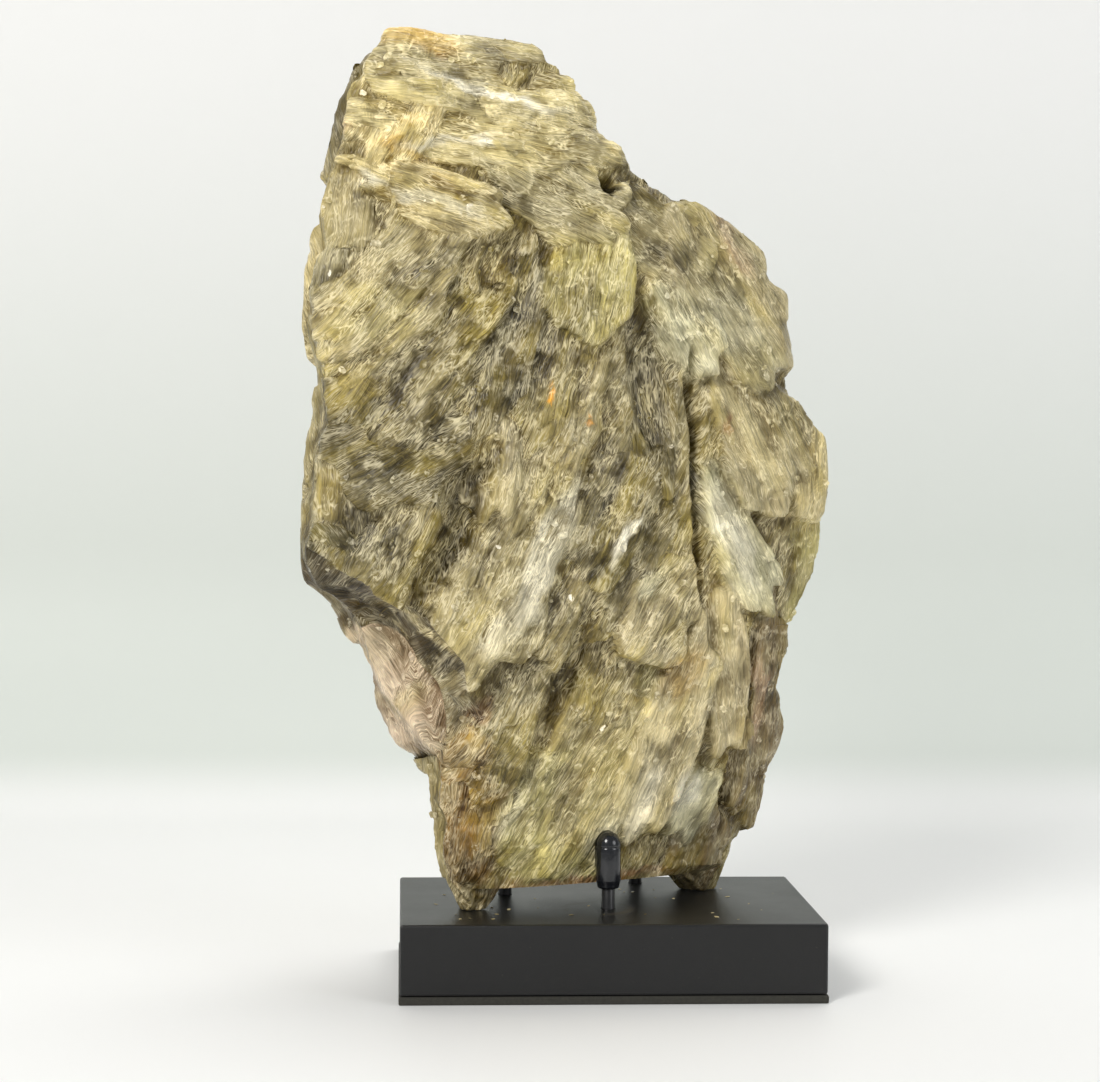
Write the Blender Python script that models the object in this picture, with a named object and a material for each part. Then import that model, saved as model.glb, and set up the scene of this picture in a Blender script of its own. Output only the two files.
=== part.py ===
"""A tall specimen of mica, held upright on a black display stand.

The specimen is one natural piece: books of mica sheets grown through each other,
with a little feldspar at its lower left edge. It stands on two feet of its own on
the stand's block, between three rods that wear soft sleeves.

Row frame: X to the viewer's right, Y away from the viewer, Z up. The origin is the
middle of the stand's underside. Lengths below are in millimetres.
"""

import math
import random

import bmesh
import bpy
import numpy as np
from mathutils import noise

MM = 0.001

# Driving dimensions of the stand.
BASE_WIDTH = 152.0
BASE_DEPTH = 100.0
BASE_TOP = 28.4
PAD_THICKNESS = 2.9
PAD_OVERHANG = 0.35
SEAM = 0.3  # air between two pieces that touch
BLOCK_BEVEL = 0.9
PAD_BEVEL = 0.6

ROD_RADIUS = 2.5
ROD_HOLE_DEPTH = 16.0
ROD_CHAMFER = 0.5
SLEEVE_RADIUS = 4.6
SLEEVE_MOUTH_ROUND = 1.0
SLEEVE_NECK = 0.5  # how much slimmer the sleeve is at its mouth
SLEEVE_FLARE = 3.2  # height over which it widens from there
ROUND_SIDES = 16

# Each rod: where it stands, and the heights of its sleeve's mouth and tip.
RODS = {
    "front": {"at": (0.0, -17.7), "mouth": 35.8, "tip": 56.7},
    "back_left": {"at": (-36.5, 11.7), "mouth": 36.5, "tip": 72.0},
    "back_right": {"at": (15.0, 35.5), "mouth": 36.5, "tip": 72.0},
}

# The specimen is laid out in slab space: s along the slab, w out of its front face
# and z up. The slab is turned about the pivot, more at its foot than higher up.
PIVOT = (-7.0, 2.0)
TURN_AT_FOOT = 25.0
TURN_ABOVE = 15.0
TWIST_FROM = 30.0
TWIST_TO = 140.0
FOOT_PLANE = BASE_TOP + SEAM

# The specimen's outline in the slab's middle plane: height and s, bottom to top.
LEFT_RIM = (
    (37, -53), (44, -55), (51, -58), (61, -57), (68, -60), (76, -59), (84, -61), (89, -68),
    (98, -74), (108, -80), (119, -84), (127, -87), (136, -91), (141, -95), (148, -104),
    (156, -108), (163, -108), (168, -106), (177, -105), (188, -104), (197, -103), (204, -101),
    (213, -101), (225, -102), (232, -104), (240, -106), (252, -105), (260, -104), (266, -100),
    (272, -101), (279, -102), (285, -101), (294, -97), (302, -95), (312, -93), (320, -92),
    (331, -85), (340, -78), (345, -73),
)
RIGHT_RIM = (
    (37, 57), (46, 62), (56, 66), (65, 67), (75, 67), (81, 72), (89, 74), (101, 76), (110, 77),
    (120, 76), (132, 76), (138, 78), (143, 82), (151, 85), (161, 86), (172, 85), (180, 88),
    (186, 91), (194, 91), (201, 86), (207, 80), (213, 77), (226, 73), (235, 72), (242, 70),
    (252, 70), (259, 68), (266, 64), (272, 56), (277, 50), (282, 40), (288, 31), (293, 22),
    (297, 13), (302, 3), (307, -4), (312, -5), (318, -6), (325, -12), (332, -12), (336, -13),
    (340, -18), (342, -25), (344, -36), (345, -46),
)
# Half thickness of the core: height and millimetres.
THICKNESS = ((37, 14), (60, 18), (80, 23), (105, 29), (140, 34), (210, 34), (255, 31), (290, 26),
             (318, 20), (334, 14), (342, 8), (345, 5))
RIM_ROUNDING = {"left": 0.6, "right": 1.6}  # the blunt rims bulge past the middle plane
SQUARENESS = 2.7
ROW_STEP = 1.6
COLUMNS = 250
CRYSTAL_TRIANGLES = 7000
SWELL = (1.4, 0.05)  # height and frequency of the slab's own slow swelling

# The books that make the front. Each is a flat stack of sheets with stepped edges:
# centre s and z, half length, half width, angle of its long side from horizontal,
# how far its middle stands out of the slab, how much its right side and its lower
# end are lifted (degrees), and number of steps.
FRONT_BOOKS = {
    "cap_top": (-50, 328, 40, 16, -5, 1.5, -3, -8, 2),
    "cap_front": (-46, 309, 46, 17, -8, 2.5, 3, 6, 3),
    "cap_left": (-76, 316, 20, 14, 60, 2.0, 6, 4, 2),
    "upper_left_flank": (-92, 292, 25, 9, 80, 0.5, -14, 2, 2),
    "white_ridge": (-67, 284, 26, 11, -20, 3.5, 8, 8, 2),
    "left_lobe": (-92, 252, 22, 14, 72, 2.0, -10, 8, 2),
    "left_diagonal_high": (-76, 262, 38, 13, 50, 3.0, 8, 4, 2),
    "left_diagonal_mid": (-86, 238, 34, 12, 47, 3.0, 8, 5, 2),
    "left_diagonal_low": (-72, 224, 42, 17, 50, 3.0, 8, 5, 3),
    "fibre_left": (-42, 236, 36, 11, 72, 2.0, 7, 3, 2),
    "fibre_right": (-22, 232, 42, 13, 70, 3.0, 10, 3, 3),
    "pale_lobe": (-11, 258, 24, 17, 76, 5.0, 10, 9, 3),
    "collar": (-24, 286, 28, 14, -24, 3.0, 4, 6, 2),
    "shoulder_grey": (15, 274, 24, 14, -37, 2.0, 3, 4, 2),
    "shoulder_brown": (44, 252, 38, 18, -55, 3.0, -4, 4, 2),
    "pale_lobe_right": (25, 241, 20, 11, -62, 4.5, 4, 9, 2),
    "right_facet": (54, 208, 34, 18, -68, 3.0, -3, 5, 2),
    "right_knob": (79, 191, 21, 12, 84, 4.0, 6, 8, 2),
    "olive_right": (78, 153, 21, 9, 88, 1.0, 6, 2, 2),
    "centre_left_plate": (-75, 197, 26, 18, 30, 4.5, 6, 10, 3),
    "left_edge_face": (-93, 194, 30, 11, 88, 2.0, -6, 4, 2),
    "centre_tongue": (-46, 190, 19, 9, 78, 6.0, 6, 12, 2),
    "main_lobe_high": (-26, 196, 40, 14, 68, 3.5, 12, 4, 3),
    "main_lobe": (-38, 160, 50, 17, 63, 4.5, 13, 5, 3),
    "main_lobe_foot": (-58, 129, 26, 14, 52, 4.0, 8, 12, 2),
    "left_bottom_face": (-86, 166, 36, 18, 62, 3.0, 5, 8, 2),
    "brown_underface": (-76, 124, 34, 12, -54, 0.0, 22, 0, 2),
    "dark_knob": (-99, 154, 15, 10, -59, 3.0, 8, 2, 2),
    "grey_tongue": (-40, 98, 28, 12, 60, 3.0, 10, 7, 2),
    "amber_lower_left": (-50, 72, 36, 13, 76, 2.5, -8, 3, 2),
    "recess_floor": (12, 214, 34, 10, 96, 0.0, 4, 2, 2),
    "centre_plate": (0, 180, 34, 16, 62, 2.5, 10, 6, 3),
    "centre_plate_low": (-12, 146, 30, 11, 56, 2.0, 9, 7, 2),
    "olive_band": (8, 158, 34, 9, 58, 1.0, 7, 4, 2),
    "lower_big_face": (-6, 78, 50, 28, 58, 1.5, 5, 3, 3),
    "lower_right_face": (21, 92, 42, 13, 70, 4.0, 6, 2, 2),
    "mid_patch": (17, 140, 22, 15, 52, 3.5, 6, 9, 2),
    "white_blade": (45, 166, 30, 10, -64, 4.0, 6, 5, 2),
    "beige_blade": (43, 116, 32, 11, 94, 4.0, 10, 3, 2),
    "brown_edge_strip": (61, 100, 46, 10, 87, 1.5, 4, 2, 2),
    "white_diamond": (34, 66, 15, 11, 57, 3.5, 6, 7, 2),
    "brown_facet": (40, 47, 18, 13, 68, 3.0, 4, 3, 2),
}
BOOK_SQUARENESS = 2.3
BOOK_TAPER = 0.3
STEP_HEIGHT = (1.3, 2.2)
PROUD_LIMIT = 8.0  # how far any book may stand out of the slab
DEEPEST = -24.0
STEEPEST = 0.35  # smallest share of a normal along the thickness that is divided by
OUTSIDE = -99.0  # a book's lift where there is no book

# Hollows in the front: centre s and z, half length, half width, angle and depth.
HOLLOWS = {
    "black_pit": (-3, 291, 4.0, 3.4, 80, 8.0),
    "crevice_high": (29, 214, 20, 3.4, 96, 8.0),
    "crevice": (31, 176, 40, 2.6, 93, 9.0),
    "recess": (12, 226, 32, 9.0, 97, 6.0),
    "golden_cavity": (-62, 166, 28, 7.0, 62, 8.0),
    "plate_shadow": (-54, 188, 15, 6.0, 50, 6.0),
    "lower_groove": (-21, 112, 36, 5.5, 70, 5.5),
    "fibre_top": (-44, 262, 14, 6.5, 66, 4.5),
    "flank_groove": (-85, 288, 20, 4.0, 84, 4.5),
    "knob_groove": (-96, 143, 24, 4.5, -50, 5.0),
    "edge_groove": (53, 92, 42, 3.0, 84, 5.5),
}

# The back is the same growth without a finished face: rows of long leaning books.
BACK_ROWS = (52, 84, 116, 148, 180, 212, 244, 276, 304, 326)
BACK_PITCH = 34.0
BACK_MARGIN = 14.0
BACK_SEED = 11

# The rims show the sheets edge on, as bands through the thickness.
RIM_BAND = 6.5
RIM_RELIEF = 1.6

# The lower left of the front turns back sharply at a ridge (rows of height and s)
# into an underface, one millimetre back for each across.
RIDGE = ((84, -54), (107, -55), (122, -57), (137, -70), (144, -82), (157, -101), (163, -107))
RIDGE_PROUD = 3.0
# The pink feldspar that the mica grew on shows beyond this border, set back.
FELDSPAR_BORDER = ((84, -62), (100, -63), (111, -66), (116, -75), (132, -88))
FELDSPAR_FACE = 7.0

# Feet: s and w of the middle, half sizes at the core and at the block.
FEET = {
    "left": {"s": -47.5, "w": 0, "top": (9, 8), "bottom": (4.5, 5), "height": 22, "seed": 1},
    "right": {"s": 49, "w": 0, "top": (13, 10), "bottom": (6, 6), "height": 18, "seed": 2},
}
FOOT_RINGS = 3
FOOT_SIDES = 12
FOOT_TAPER = 0.7
SLEEVE_ROOM = 0.4  # air between the specimen and a sleeve


def clear_scene():
    for obj in list(bpy.data.objects):
        bpy.data.objects.remove(obj, do_unlink=True)


def material(name, colour, roughness, metallic=0.0):
    made = bpy.data.materials.new(name)
    made.use_nodes = True
    shader = made.node_tree.nodes["Principled BSDF"]
    shader.inputs["Base Color"].default_value = (*colour, 1.0)
    shader.inputs["Roughness"].default_value = roughness
    shader.inputs["Metallic"].default_value = metallic
    return made


def object_from(name, bm, finish=None):
    """Links a new object holding the bmesh, which is in millimetres and is freed."""
    bmesh.ops.recalc_face_normals(bm, faces=bm.faces)
    bmesh.ops.scale(bm, vec=(MM, MM, MM), verts=bm.verts)
    mesh = bpy.data.meshes.new(name)
    bm.to_mesh(mesh)
    bm.free()
    obj = bpy.data.objects.new(name, mesh)
    bpy.context.scene.collection.objects.link(obj)
    if finish:
        mesh.materials.append(finish)
    return obj


def ring(bm, points):
    return [bm.verts.new(p) for p in points]


def skin(bm, lower, upper):
    """Quads between two rings of the same count."""
    count = len(lower)
    for i in range(count):
        j = (i + 1) % count
        bm.faces.new((lower[i], lower[j], upper[j], upper[i]))


def stack_rings(bm, rings):
    """One closed body from a pile of rings, with flat caps."""
    made = [ring(bm, points) for points in rings]
    for lower, upper in zip(made, made[1:]):
        skin(bm, lower, upper)
    bm.faces.new(list(reversed(made[0])))
    bm.faces.new(made[-1])


def turned(profile, sides=ROUND_SIDES):
    """A bmesh turned about Z from (radius, height) points, bottom to top.
    A point with no radius closes that end."""
    bm = bmesh.new()
    rows = []
    for radius, height in profile:
        if radius == 0:
            rows.append([bm.verts.new((0, 0, height))])
            continue
        angles = (2 * math.pi * k / sides for k in range(sides))
        rows.append(ring(bm, [(radius * math.cos(a), radius * math.sin(a), height) for a in angles]))
    for lower, upper in zip(rows, rows[1:]):
        if len(lower) == 1:
            for k in range(sides):
                bm.faces.new((lower[0], upper[(k + 1) % sides], upper[k]))
        elif len(upper) == 1:
            for k in range(sides):
                bm.faces.new((lower[k], lower[(k + 1) % sides], upper[0]))
        else:
            skin(bm, lower, upper)
    return bm


# --- The stand -------------------------------------------------------------


def box_bmesh(size, centre):
    bm = bmesh.new()
    bmesh.ops.create_cube(bm, size=1.0)
    bmesh.ops.scale(bm, vec=size, verts=bm.verts)
    bmesh.ops.translate(bm, vec=centre, verts=bm.verts)
    return bm


def add_bevel(obj, width, segments):
    bevel = obj.modifiers.new("soft edges", "BEVEL")
    bevel.width = width * MM
    bevel.segments = segments
    bevel.limit_method = "ANGLE"


def cut(obj, cutter):
    """A Boolean difference that stays on the object; the cutter is a helper."""
    cutter.hide_render = True
    cutter.display_type = "WIRE"
    modifier = obj.modifiers.new("cut " + cutter.name, "BOOLEAN")
    modifier.operation = "DIFFERENCE"
    modifier.solver = "EXACT"
    modifier.object = cutter


def build_base():
    black = material("black_satin_paint", (0.022, 0.022, 0.023), 0.38)
    block_bottom = PAD_THICKNESS + SEAM
    block = object_from(
        "base_block",
        box_bmesh(
            (BASE_WIDTH, BASE_DEPTH, BASE_TOP - block_bottom),
            (0, 0, (BASE_TOP + block_bottom) / 2),
        ),
        black,
    )
    add_bevel(block, BLOCK_BEVEL, 2)
    for name, rod in RODS.items():
        floor, radius, above = BASE_TOP - ROD_HOLE_DEPTH - SEAM, ROD_RADIUS + SEAM, BASE_TOP + 2
        hole = turned([(0, floor), (radius, floor), (radius, above), (0, above)])
        cutter = object_from(name + "_rod_hole", hole)
        cutter.location = (rod["at"][0] * MM, rod["at"][1] * MM, 0)
        cut(block, cutter)

    foam = material("black_foam_pad", (0.035, 0.036, 0.03), 0.9)
    pad = object_from(
        "base_pad",
        box_bmesh(
            (BASE_WIDTH + 2 * PAD_OVERHANG, BASE_DEPTH + 2 * PAD_OVERHANG, PAD_THICKNESS),
            (0, 0, PAD_THICKNESS / 2),
        ),
        foam,
    )
    add_bevel(pad, PAD_BEVEL, 2)


def rod_profile(tip):
    """A plain rod with a slightly chamfered top, from its hole up."""
    foot = BASE_TOP - ROD_HOLE_DEPTH
    return [
        (0, foot),
        (ROD_RADIUS, foot),
        (ROD_RADIUS, tip - ROD_CHAMFER),
        (ROD_RADIUS - ROD_CHAMFER, tip),
        (0, tip),
    ]


def sleeve_profile(mouth, tip, rod_tip):
    """A dipped rubber sleeve: a rolled mouth, straight sides, a domed tip, and the
    bore that the rod fills."""
    bore = ROD_RADIUS + SEAM
    profile = [(0, rod_tip + SEAM), (bore, rod_tip + SEAM), (bore, mouth)]
    roll = SLEEVE_MOUTH_ROUND
    neck = SLEEVE_RADIUS - SLEEVE_NECK
    roll_steps, dome_steps = 3, 7
    for k in range(roll_steps + 1):
        turn = math.pi / 2 * k / roll_steps
        profile.append((neck - roll + roll * math.sin(turn), mouth + roll - roll * math.cos(turn)))
    profile.append((SLEEVE_RADIUS, mouth + SLEEVE_FLARE))
    dome = SLEEVE_RADIUS * 1.15
    for k in range(dome_steps):
        turn = math.pi / 2 * k / dome_steps
        profile.append((SLEEVE_RADIUS * math.cos(turn), tip - dome + dome * math.sin(turn)))
    profile.append((0, tip))
    return profile


def build_rods():
    steel = material("black_rod_enamel", (0.02, 0.02, 0.022), 0.3, 0.2)
    rubber = material("black_rubber_sleeve", (0.012, 0.013, 0.016), 0.16)
    for name, rod in RODS.items():
        at = (rod["at"][0] * MM, rod["at"][1] * MM, 0)
        rod_tip = rod["tip"] - SLEEVE_RADIUS
        pin = object_from(name + "_rod", turned(rod_profile(rod_tip)), steel)
        sleeve = object_from(
            name + "_sleeve",
            turned(sleeve_profile(rod["mouth"], rod["tip"], rod_tip)),
            rubber,
        )
        for obj in (pin, sleeve):
            obj.location = at
            obj.data.shade_smooth()


# --- The specimen ----------------------------------------------------------


def ramp(value, start, end):
    """0 before start, 1 past end, straight between; end may be the lower one."""
    return np.clip((value - start) / (end - start), 0.0, 1.0)


def slab_turn(z):
    """How far the slab is turned about Z at a height, in radians."""
    t = ramp(z, TWIST_FROM, TWIST_TO)
    eased = t * t * (3 - 2 * t)
    return np.radians(TURN_AT_FOOT + (TURN_ABOVE - TURN_AT_FOOT) * eased)


def to_row(points):
    """From slab space (s, w, z) to the row frame, for an array of points."""
    s, w, z = points.T
    turn = slab_turn(z)
    x = PIVOT[0] + s * np.cos(turn) + w * np.sin(turn)
    y = PIVOT[1] + s * np.sin(turn) - w * np.cos(turn)
    return np.stack([x, y, z], axis=1)


def read_rows(rows, z):
    """The value at a height in rows of (height, value), straight between them."""
    heights, values = zip(*rows)
    return np.interp(z, heights, values)


def core_section(z):
    """Middle, reach and half thickness of the plain slab at a height."""
    left = read_rows(LEFT_RIM, z) + RIM_ROUNDING["left"]
    right = read_rows(RIGHT_RIM, z) - RIM_ROUNDING["right"]
    return (left + right) / 2, (right - left) / 2, read_rows(THICKNESS, z)


def core_face(s, z):
    """How far the plain slab's front face stands from its middle plane."""
    middle, reach, half = core_section(z)
    across = np.clip(np.abs(s - middle) / reach, 0, 1)
    return half * (1 - across**SQUARENESS) ** (1 / SQUARENESS)


def unit_section(columns):
    """Points spread evenly along a blunt lens of the slab's own proportions."""
    turn = np.linspace(0, 2 * np.pi, 4001)
    cosine, sine = np.cos(turn), np.sin(turn)
    x = np.sign(cosine) * np.abs(cosine) ** (2 / SQUARENESS)
    y = np.sign(sine) * np.abs(sine) ** (2 / SQUARENESS)
    typical_height = 180.0
    _, reach, half = core_section(typical_height)
    lengths = np.hypot(np.diff(x * reach), np.diff(y * half))
    travelled = np.concatenate([[0], np.cumsum(lengths)])
    places = np.linspace(0, travelled[-1], columns, endpoint=False)
    return np.interp(places, travelled, x), np.interp(places, travelled, y)


def plain_slab(row_step, columns):
    """The slab before its relief: a grid of points (row, column, 3) and normals."""
    bottom, top = THICKNESS[0][0], THICKNESS[-1][0]
    z = np.linspace(bottom, top, int((top - bottom) / row_step) + 1)
    middle, reach, half = core_section(z)
    x, y = unit_section(columns)
    points = np.empty((len(z), columns, 3))
    points[..., 0] = middle[:, None] + reach[:, None] * x
    points[..., 1] = half[:, None] * y
    points[..., 2] = z[:, None]
    around = np.roll(points, -1, axis=1) - np.roll(points, 1, axis=1)
    up = np.gradient(points, axis=0)
    normals = np.cross(around, up)
    normals /= np.linalg.norm(normals, axis=2, keepdims=True)
    return points, normals


def in_plane_axes(angle):
    """Unit vectors in (s, z): down a long side at that angle, and to its right."""
    a = math.radians(angle)
    along = (math.cos(a), math.sin(a))
    if along[1] > 0:
        along = (-along[0], -along[1])
    across = (-along[1], along[0])
    return along, across


def ragged_edge(around, rng, roughness=0.045):
    """Radius factor of a broken outline, by the angle around it."""
    radius = np.ones_like(around)
    for waves in range(2, 10):
        radius += roughness * rng.uniform(0.3, 1.2) * np.cos(waves * around + rng.uniform(0, 6.28))
    return radius


def book_relief(spec, slope, points, normals, side, rng):
    """How far one book lifts each point of the slab along its normal, or a large
    negative number outside its outline. side is 1 on the front and -1 on the back."""
    s0, z0, half_length, half_width, angle, proud, lift, dip, steps = spec
    along, across = in_plane_axes(angle)
    s, z = points[..., 0] - s0, points[..., 2] - z0
    x = s * along[0] + z * along[1]
    y = s * across[0] + z * across[1]
    taper = 1 + rng.uniform(0.0, BOOK_TAPER) * np.clip(x / half_length, -1, 1)
    around = np.arctan2(y / half_width, x / half_length)
    x_share = np.abs(x / half_length) ** BOOK_SQUARENESS
    y_share = np.abs(y / (half_width * taper)) ** BOOK_SQUARENESS
    spread = (x_share + y_share) ** (1 / BOOK_SQUARENESS) / ragged_edge(around, rng)
    # The face of the book is flat: it follows the slab's mean slope and its own tilt.
    pitch_x, pitch_y = math.tan(math.radians(dip)), math.tan(math.radians(lift))
    slope_s = slope[0] + pitch_x * along[0] + pitch_y * across[0]
    slope_z = slope[1] + pitch_x * along[1] + pitch_y * across[1]
    face = core_face(s0, z0) + proud + slope_s * s + slope_z * z
    lean = side * normals[..., 1] - slope_s * normals[..., 0] - slope_z * normals[..., 2]
    relief = (face - side * points[..., 1]) / np.maximum(lean, STEEPEST)
    # Its sheets end in steps, wider apart on the lower right.
    step_height = rng.uniform(*STEP_HEIGHT)
    band = (1.5 + 0.05 * half_width) / half_width
    wider = 1 + 0.5 * np.cos(around - 0.8)
    for step in range(1, steps):
        relief = np.where(spread > 1 - band * wider * step, relief - step_height, relief)
    facing = side * normals[..., 1] > 0.05
    return np.where((spread < 1) & facing, relief, OUTSIDE)


def mean_slope(s, z):
    """Slope of the plain slab's face there, kept gentle near the rims."""
    step, limit = 8.0, 0.5
    slope_s = (core_face(s + step, z) - core_face(s - step, z)) / (2 * step)
    slope_z = (core_face(s, z + step) - core_face(s, z - step)) / (2 * step)
    return float(np.clip(slope_s, -limit, limit)), float(np.clip(slope_z, -limit, limit))


def back_books():
    """Specs of leaning books in offset rows over the back."""
    rng = random.Random(BACK_SEED)
    for row, z in enumerate(BACK_ROWS):
        middle, reach, _ = core_section(z)
        left, right = middle - reach + BACK_MARGIN, middle + reach - BACK_MARGIN
        count = max(1, round((right - left) / BACK_PITCH))
        for k in range(count + 1):
            share = (k + 0.5 * (row % 2)) / count
            if share <= 1:
                yield (
                    left + (right - left) * share + rng.uniform(-6, 6),
                    z + rng.uniform(-8, 8),
                    rng.uniform(28, 58),
                    rng.uniform(12, 22),
                    rng.gauss(116, 16),
                    rng.uniform(0.5, 4.0),
                    rng.uniform(4, 12),
                    rng.uniform(2, 9),
                    rng.choice((2, 3)),
                )


def hollow_depth(spec, points):
    """Depth of one hollow at each point: a bowl, zero outside its outline."""
    s0, z0, half_length, half_width, angle, depth = spec
    along, across = in_plane_axes(angle)
    s, z = points[..., 0] - s0, points[..., 2] - z0
    x = (s * along[0] + z * along[1]) / half_length
    y = (s * across[0] + z * across[1]) / half_width
    return depth * np.sqrt(np.clip(1 - x * x - y * y, 0, 1))


def noise_at(points, scale, shift):
    """Smooth noise from -1 to 1, sampled at points with a scale for each axis."""
    places = points.reshape(-1, 3) * scale + shift
    values = np.fromiter((noise.noise(place) for place in places), float, len(places))
    return values.reshape(points.shape[:-1])


def rim_relief(points):
    """Bands of sheet edges: each band of thickness has its own wandering edge."""
    drift = noise_at(points, (0.0, 0.0, 0.02), (3.1, 5.2, 0.0)) * RIM_BAND
    band = np.floor((points[..., 1] + drift) / RIM_BAND)
    lanes = np.stack([band * 7.31, band * 3.7, points[..., 2]], axis=-1)
    return noise_at(lanes, (1.0, 1.0, 0.045), (0.5, 0.5, 0.0)) * RIM_RELIEF


def cut_underface(lift, points, normals):
    """Trims the lift to the underface and to the feldspar's face beside it."""
    s, w, z = points[..., 0], points[..., 1], points[..., 2]
    ridge = read_rows(RIDGE, z)
    bottom, top = RIDGE[0][0], RIDGE[-1][0]
    face = core_face(ridge, z) + RIDGE_PROUD - (ridge - s)
    feldspar = (s < read_rows(FELDSPAR_BORDER, z)) & (z < FELDSPAR_BORDER[-1][0])
    face = np.where(feldspar, np.minimum(face, FELDSPAR_FACE), face)
    trimmed = np.minimum(lift, (face - w) / np.maximum(normals[..., 1], STEEPEST))
    inside = (s < ridge) & (z > bottom) & (z < top) & (normals[..., 1] > 0.1)
    return np.where(inside, trimmed, lift)


def relief(points, normals):
    """How far the grown surface stands out of the plain slab at each point."""
    swell, frequency = SWELL
    lift = noise_at(points, (frequency, frequency, frequency), (0.0, 0.0, 0.0)) * swell
    for name, spec in FRONT_BOOKS.items():
        slope = mean_slope(spec[0], spec[1])
        book = book_relief(spec, slope, points, normals, 1, random.Random(name))
        lift = np.maximum(lift, book)
    for index, spec in enumerate(back_books()):
        slope = mean_slope(spec[0], spec[1])
        book = book_relief(spec, slope, points, normals, -1, random.Random(index))
        lift = np.maximum(lift, book)
    front = normals[..., 1] > 0
    for spec in HOLLOWS.values():
        lift = lift - np.where(front, hollow_depth(spec, points), 0)
    lift = cut_underface(lift, points, normals)
    facing = np.abs(normals[..., 1])
    lift = np.clip(lift, DEEPEST, PROUD_LIMIT * ramp(facing, 0.1, 0.55))
    rim = ramp(facing, 0.75, 0.4)
    lift = lift * (1 - rim) + rim_relief(points) * rim
    underside = THICKNESS[0][0]  # it stays flat
    return lift * ramp(points[..., 2], underside, underside + 4)


def slab_bmesh(grid):
    """One closed body from the grid, with a fan at the bottom and at the top."""
    bm = bmesh.new()
    rows = [ring(bm, row) for row in grid]
    for lower, upper in zip(rows, rows[1:]):
        skin(bm, lower, upper)
    for row, points in ((rows[0], grid[0]), (rows[-1], grid[-1])):
        centre = bm.verts.new(points.mean(axis=0))
        for k, vertex in enumerate(row):
            bm.faces.new((centre, vertex, row[(k + 1) % len(row)]))
    bmesh.ops.triangulate(bm, faces=bm.faces)
    return bm


def foot_bmesh(foot):
    """A stub that narrows from the slab down to the block."""
    rng = random.Random(foot["seed"])
    rings = []
    for k in range(FOOT_RINGS + 1):
        t = k / FOOT_RINGS
        half_s = foot["bottom"][0] + (foot["top"][0] - foot["bottom"][0]) * t**FOOT_TAPER
        half_w = foot["bottom"][1] + (foot["top"][1] - foot["bottom"][1]) * t
        z = FOOT_PLANE - SEAM + (foot["height"] + SEAM) * t
        points = []
        for i in range(FOOT_SIDES):
            turn = 2 * math.pi * i / FOOT_SIDES
            reach = rng.uniform(0.9, 1.06)
            s = foot["s"] + half_s * reach * math.cos(turn)
            w = foot["w"] + half_w * reach * math.sin(turn)
            points.append((s, w, z))
        rings.append(to_row(np.array(points)))
    bm = bmesh.new()
    stack_rings(bm, rings)
    return bm


def applied(obj):
    """The object's evaluated mesh, put in place of its own, with no modifiers left."""
    graph = bpy.context.evaluated_depsgraph_get()
    mesh = bpy.data.meshes.new_from_object(obj.evaluated_get(graph))
    obj.modifiers.clear()
    obj.data = mesh
    return obj


def combine(core, bodies, operation):
    """Adds overlapping bodies to the core, or cuts them out of it, all at once."""
    helpers = bpy.data.collections.new("helpers")
    bpy.context.scene.collection.children.link(helpers)
    for index, bm in enumerate(bodies):
        helper = object_from(f"helper_{index:02d}", bm)
        bpy.context.scene.collection.objects.unlink(helper)
        helpers.objects.link(helper)
    modifier = core.modifiers.new(operation, "BOOLEAN")
    modifier.operation = operation
    modifier.solver = "MANIFOLD"
    modifier.operand_type = "COLLECTION"
    modifier.collection = helpers
    applied(core)
    for helper in list(helpers.objects):
        bpy.data.objects.remove(helper, do_unlink=True)
    bpy.data.collections.remove(helpers)


def sleeve_room(rod):
    """The room that a rod and its sleeve take, with a hair of air round them."""
    radius = SLEEVE_RADIUS + SLEEVE_ROOM
    top = rod["tip"] + SLEEVE_ROOM
    bm = turned([(0, 0), (radius, 0), (radius, top), (0, top)])
    bmesh.ops.translate(bm, vec=(*rod["at"], 0), verts=bm.verts)
    return bm


def thin_out(obj, triangles):
    """Collapses the shortest and flattest edges until so many triangles are left."""
    decimate = obj.modifiers.new("thin out", "DECIMATE")
    decimate.ratio = triangles / len(obj.data.polygons)
    applied(obj)


def build_crystal():
    mica = material("mica", (0.42, 0.37, 0.24), 0.32)
    points, normals = plain_slab(ROW_STEP, COLUMNS)
    points += normals * relief(points, normals)[..., None]
    grid = to_row(points.reshape(-1, 3)).reshape(points.shape)
    core = object_from("mica_crystal", slab_bmesh(grid), mica)
    thin_out(core, CRYSTAL_TRIANGLES)
    combine(core, [foot_bmesh(foot) for foot in FEET.values()], "UNION")
    width, height = 400, 60
    below = box_bmesh((width, width, height), (0, 0, FOOT_PLANE - height / 2))
    combine(core, [*(sleeve_room(rod) for rod in RODS.values()), below], "DIFFERENCE")


def main():
    clear_scene()
    build_base()
    build_rods()
    build_crystal()


main()
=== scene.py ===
import math
import random

import bmesh
import bpy
import numpy as np
from mathutils import Matrix, Vector, kdtree, noise


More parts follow.
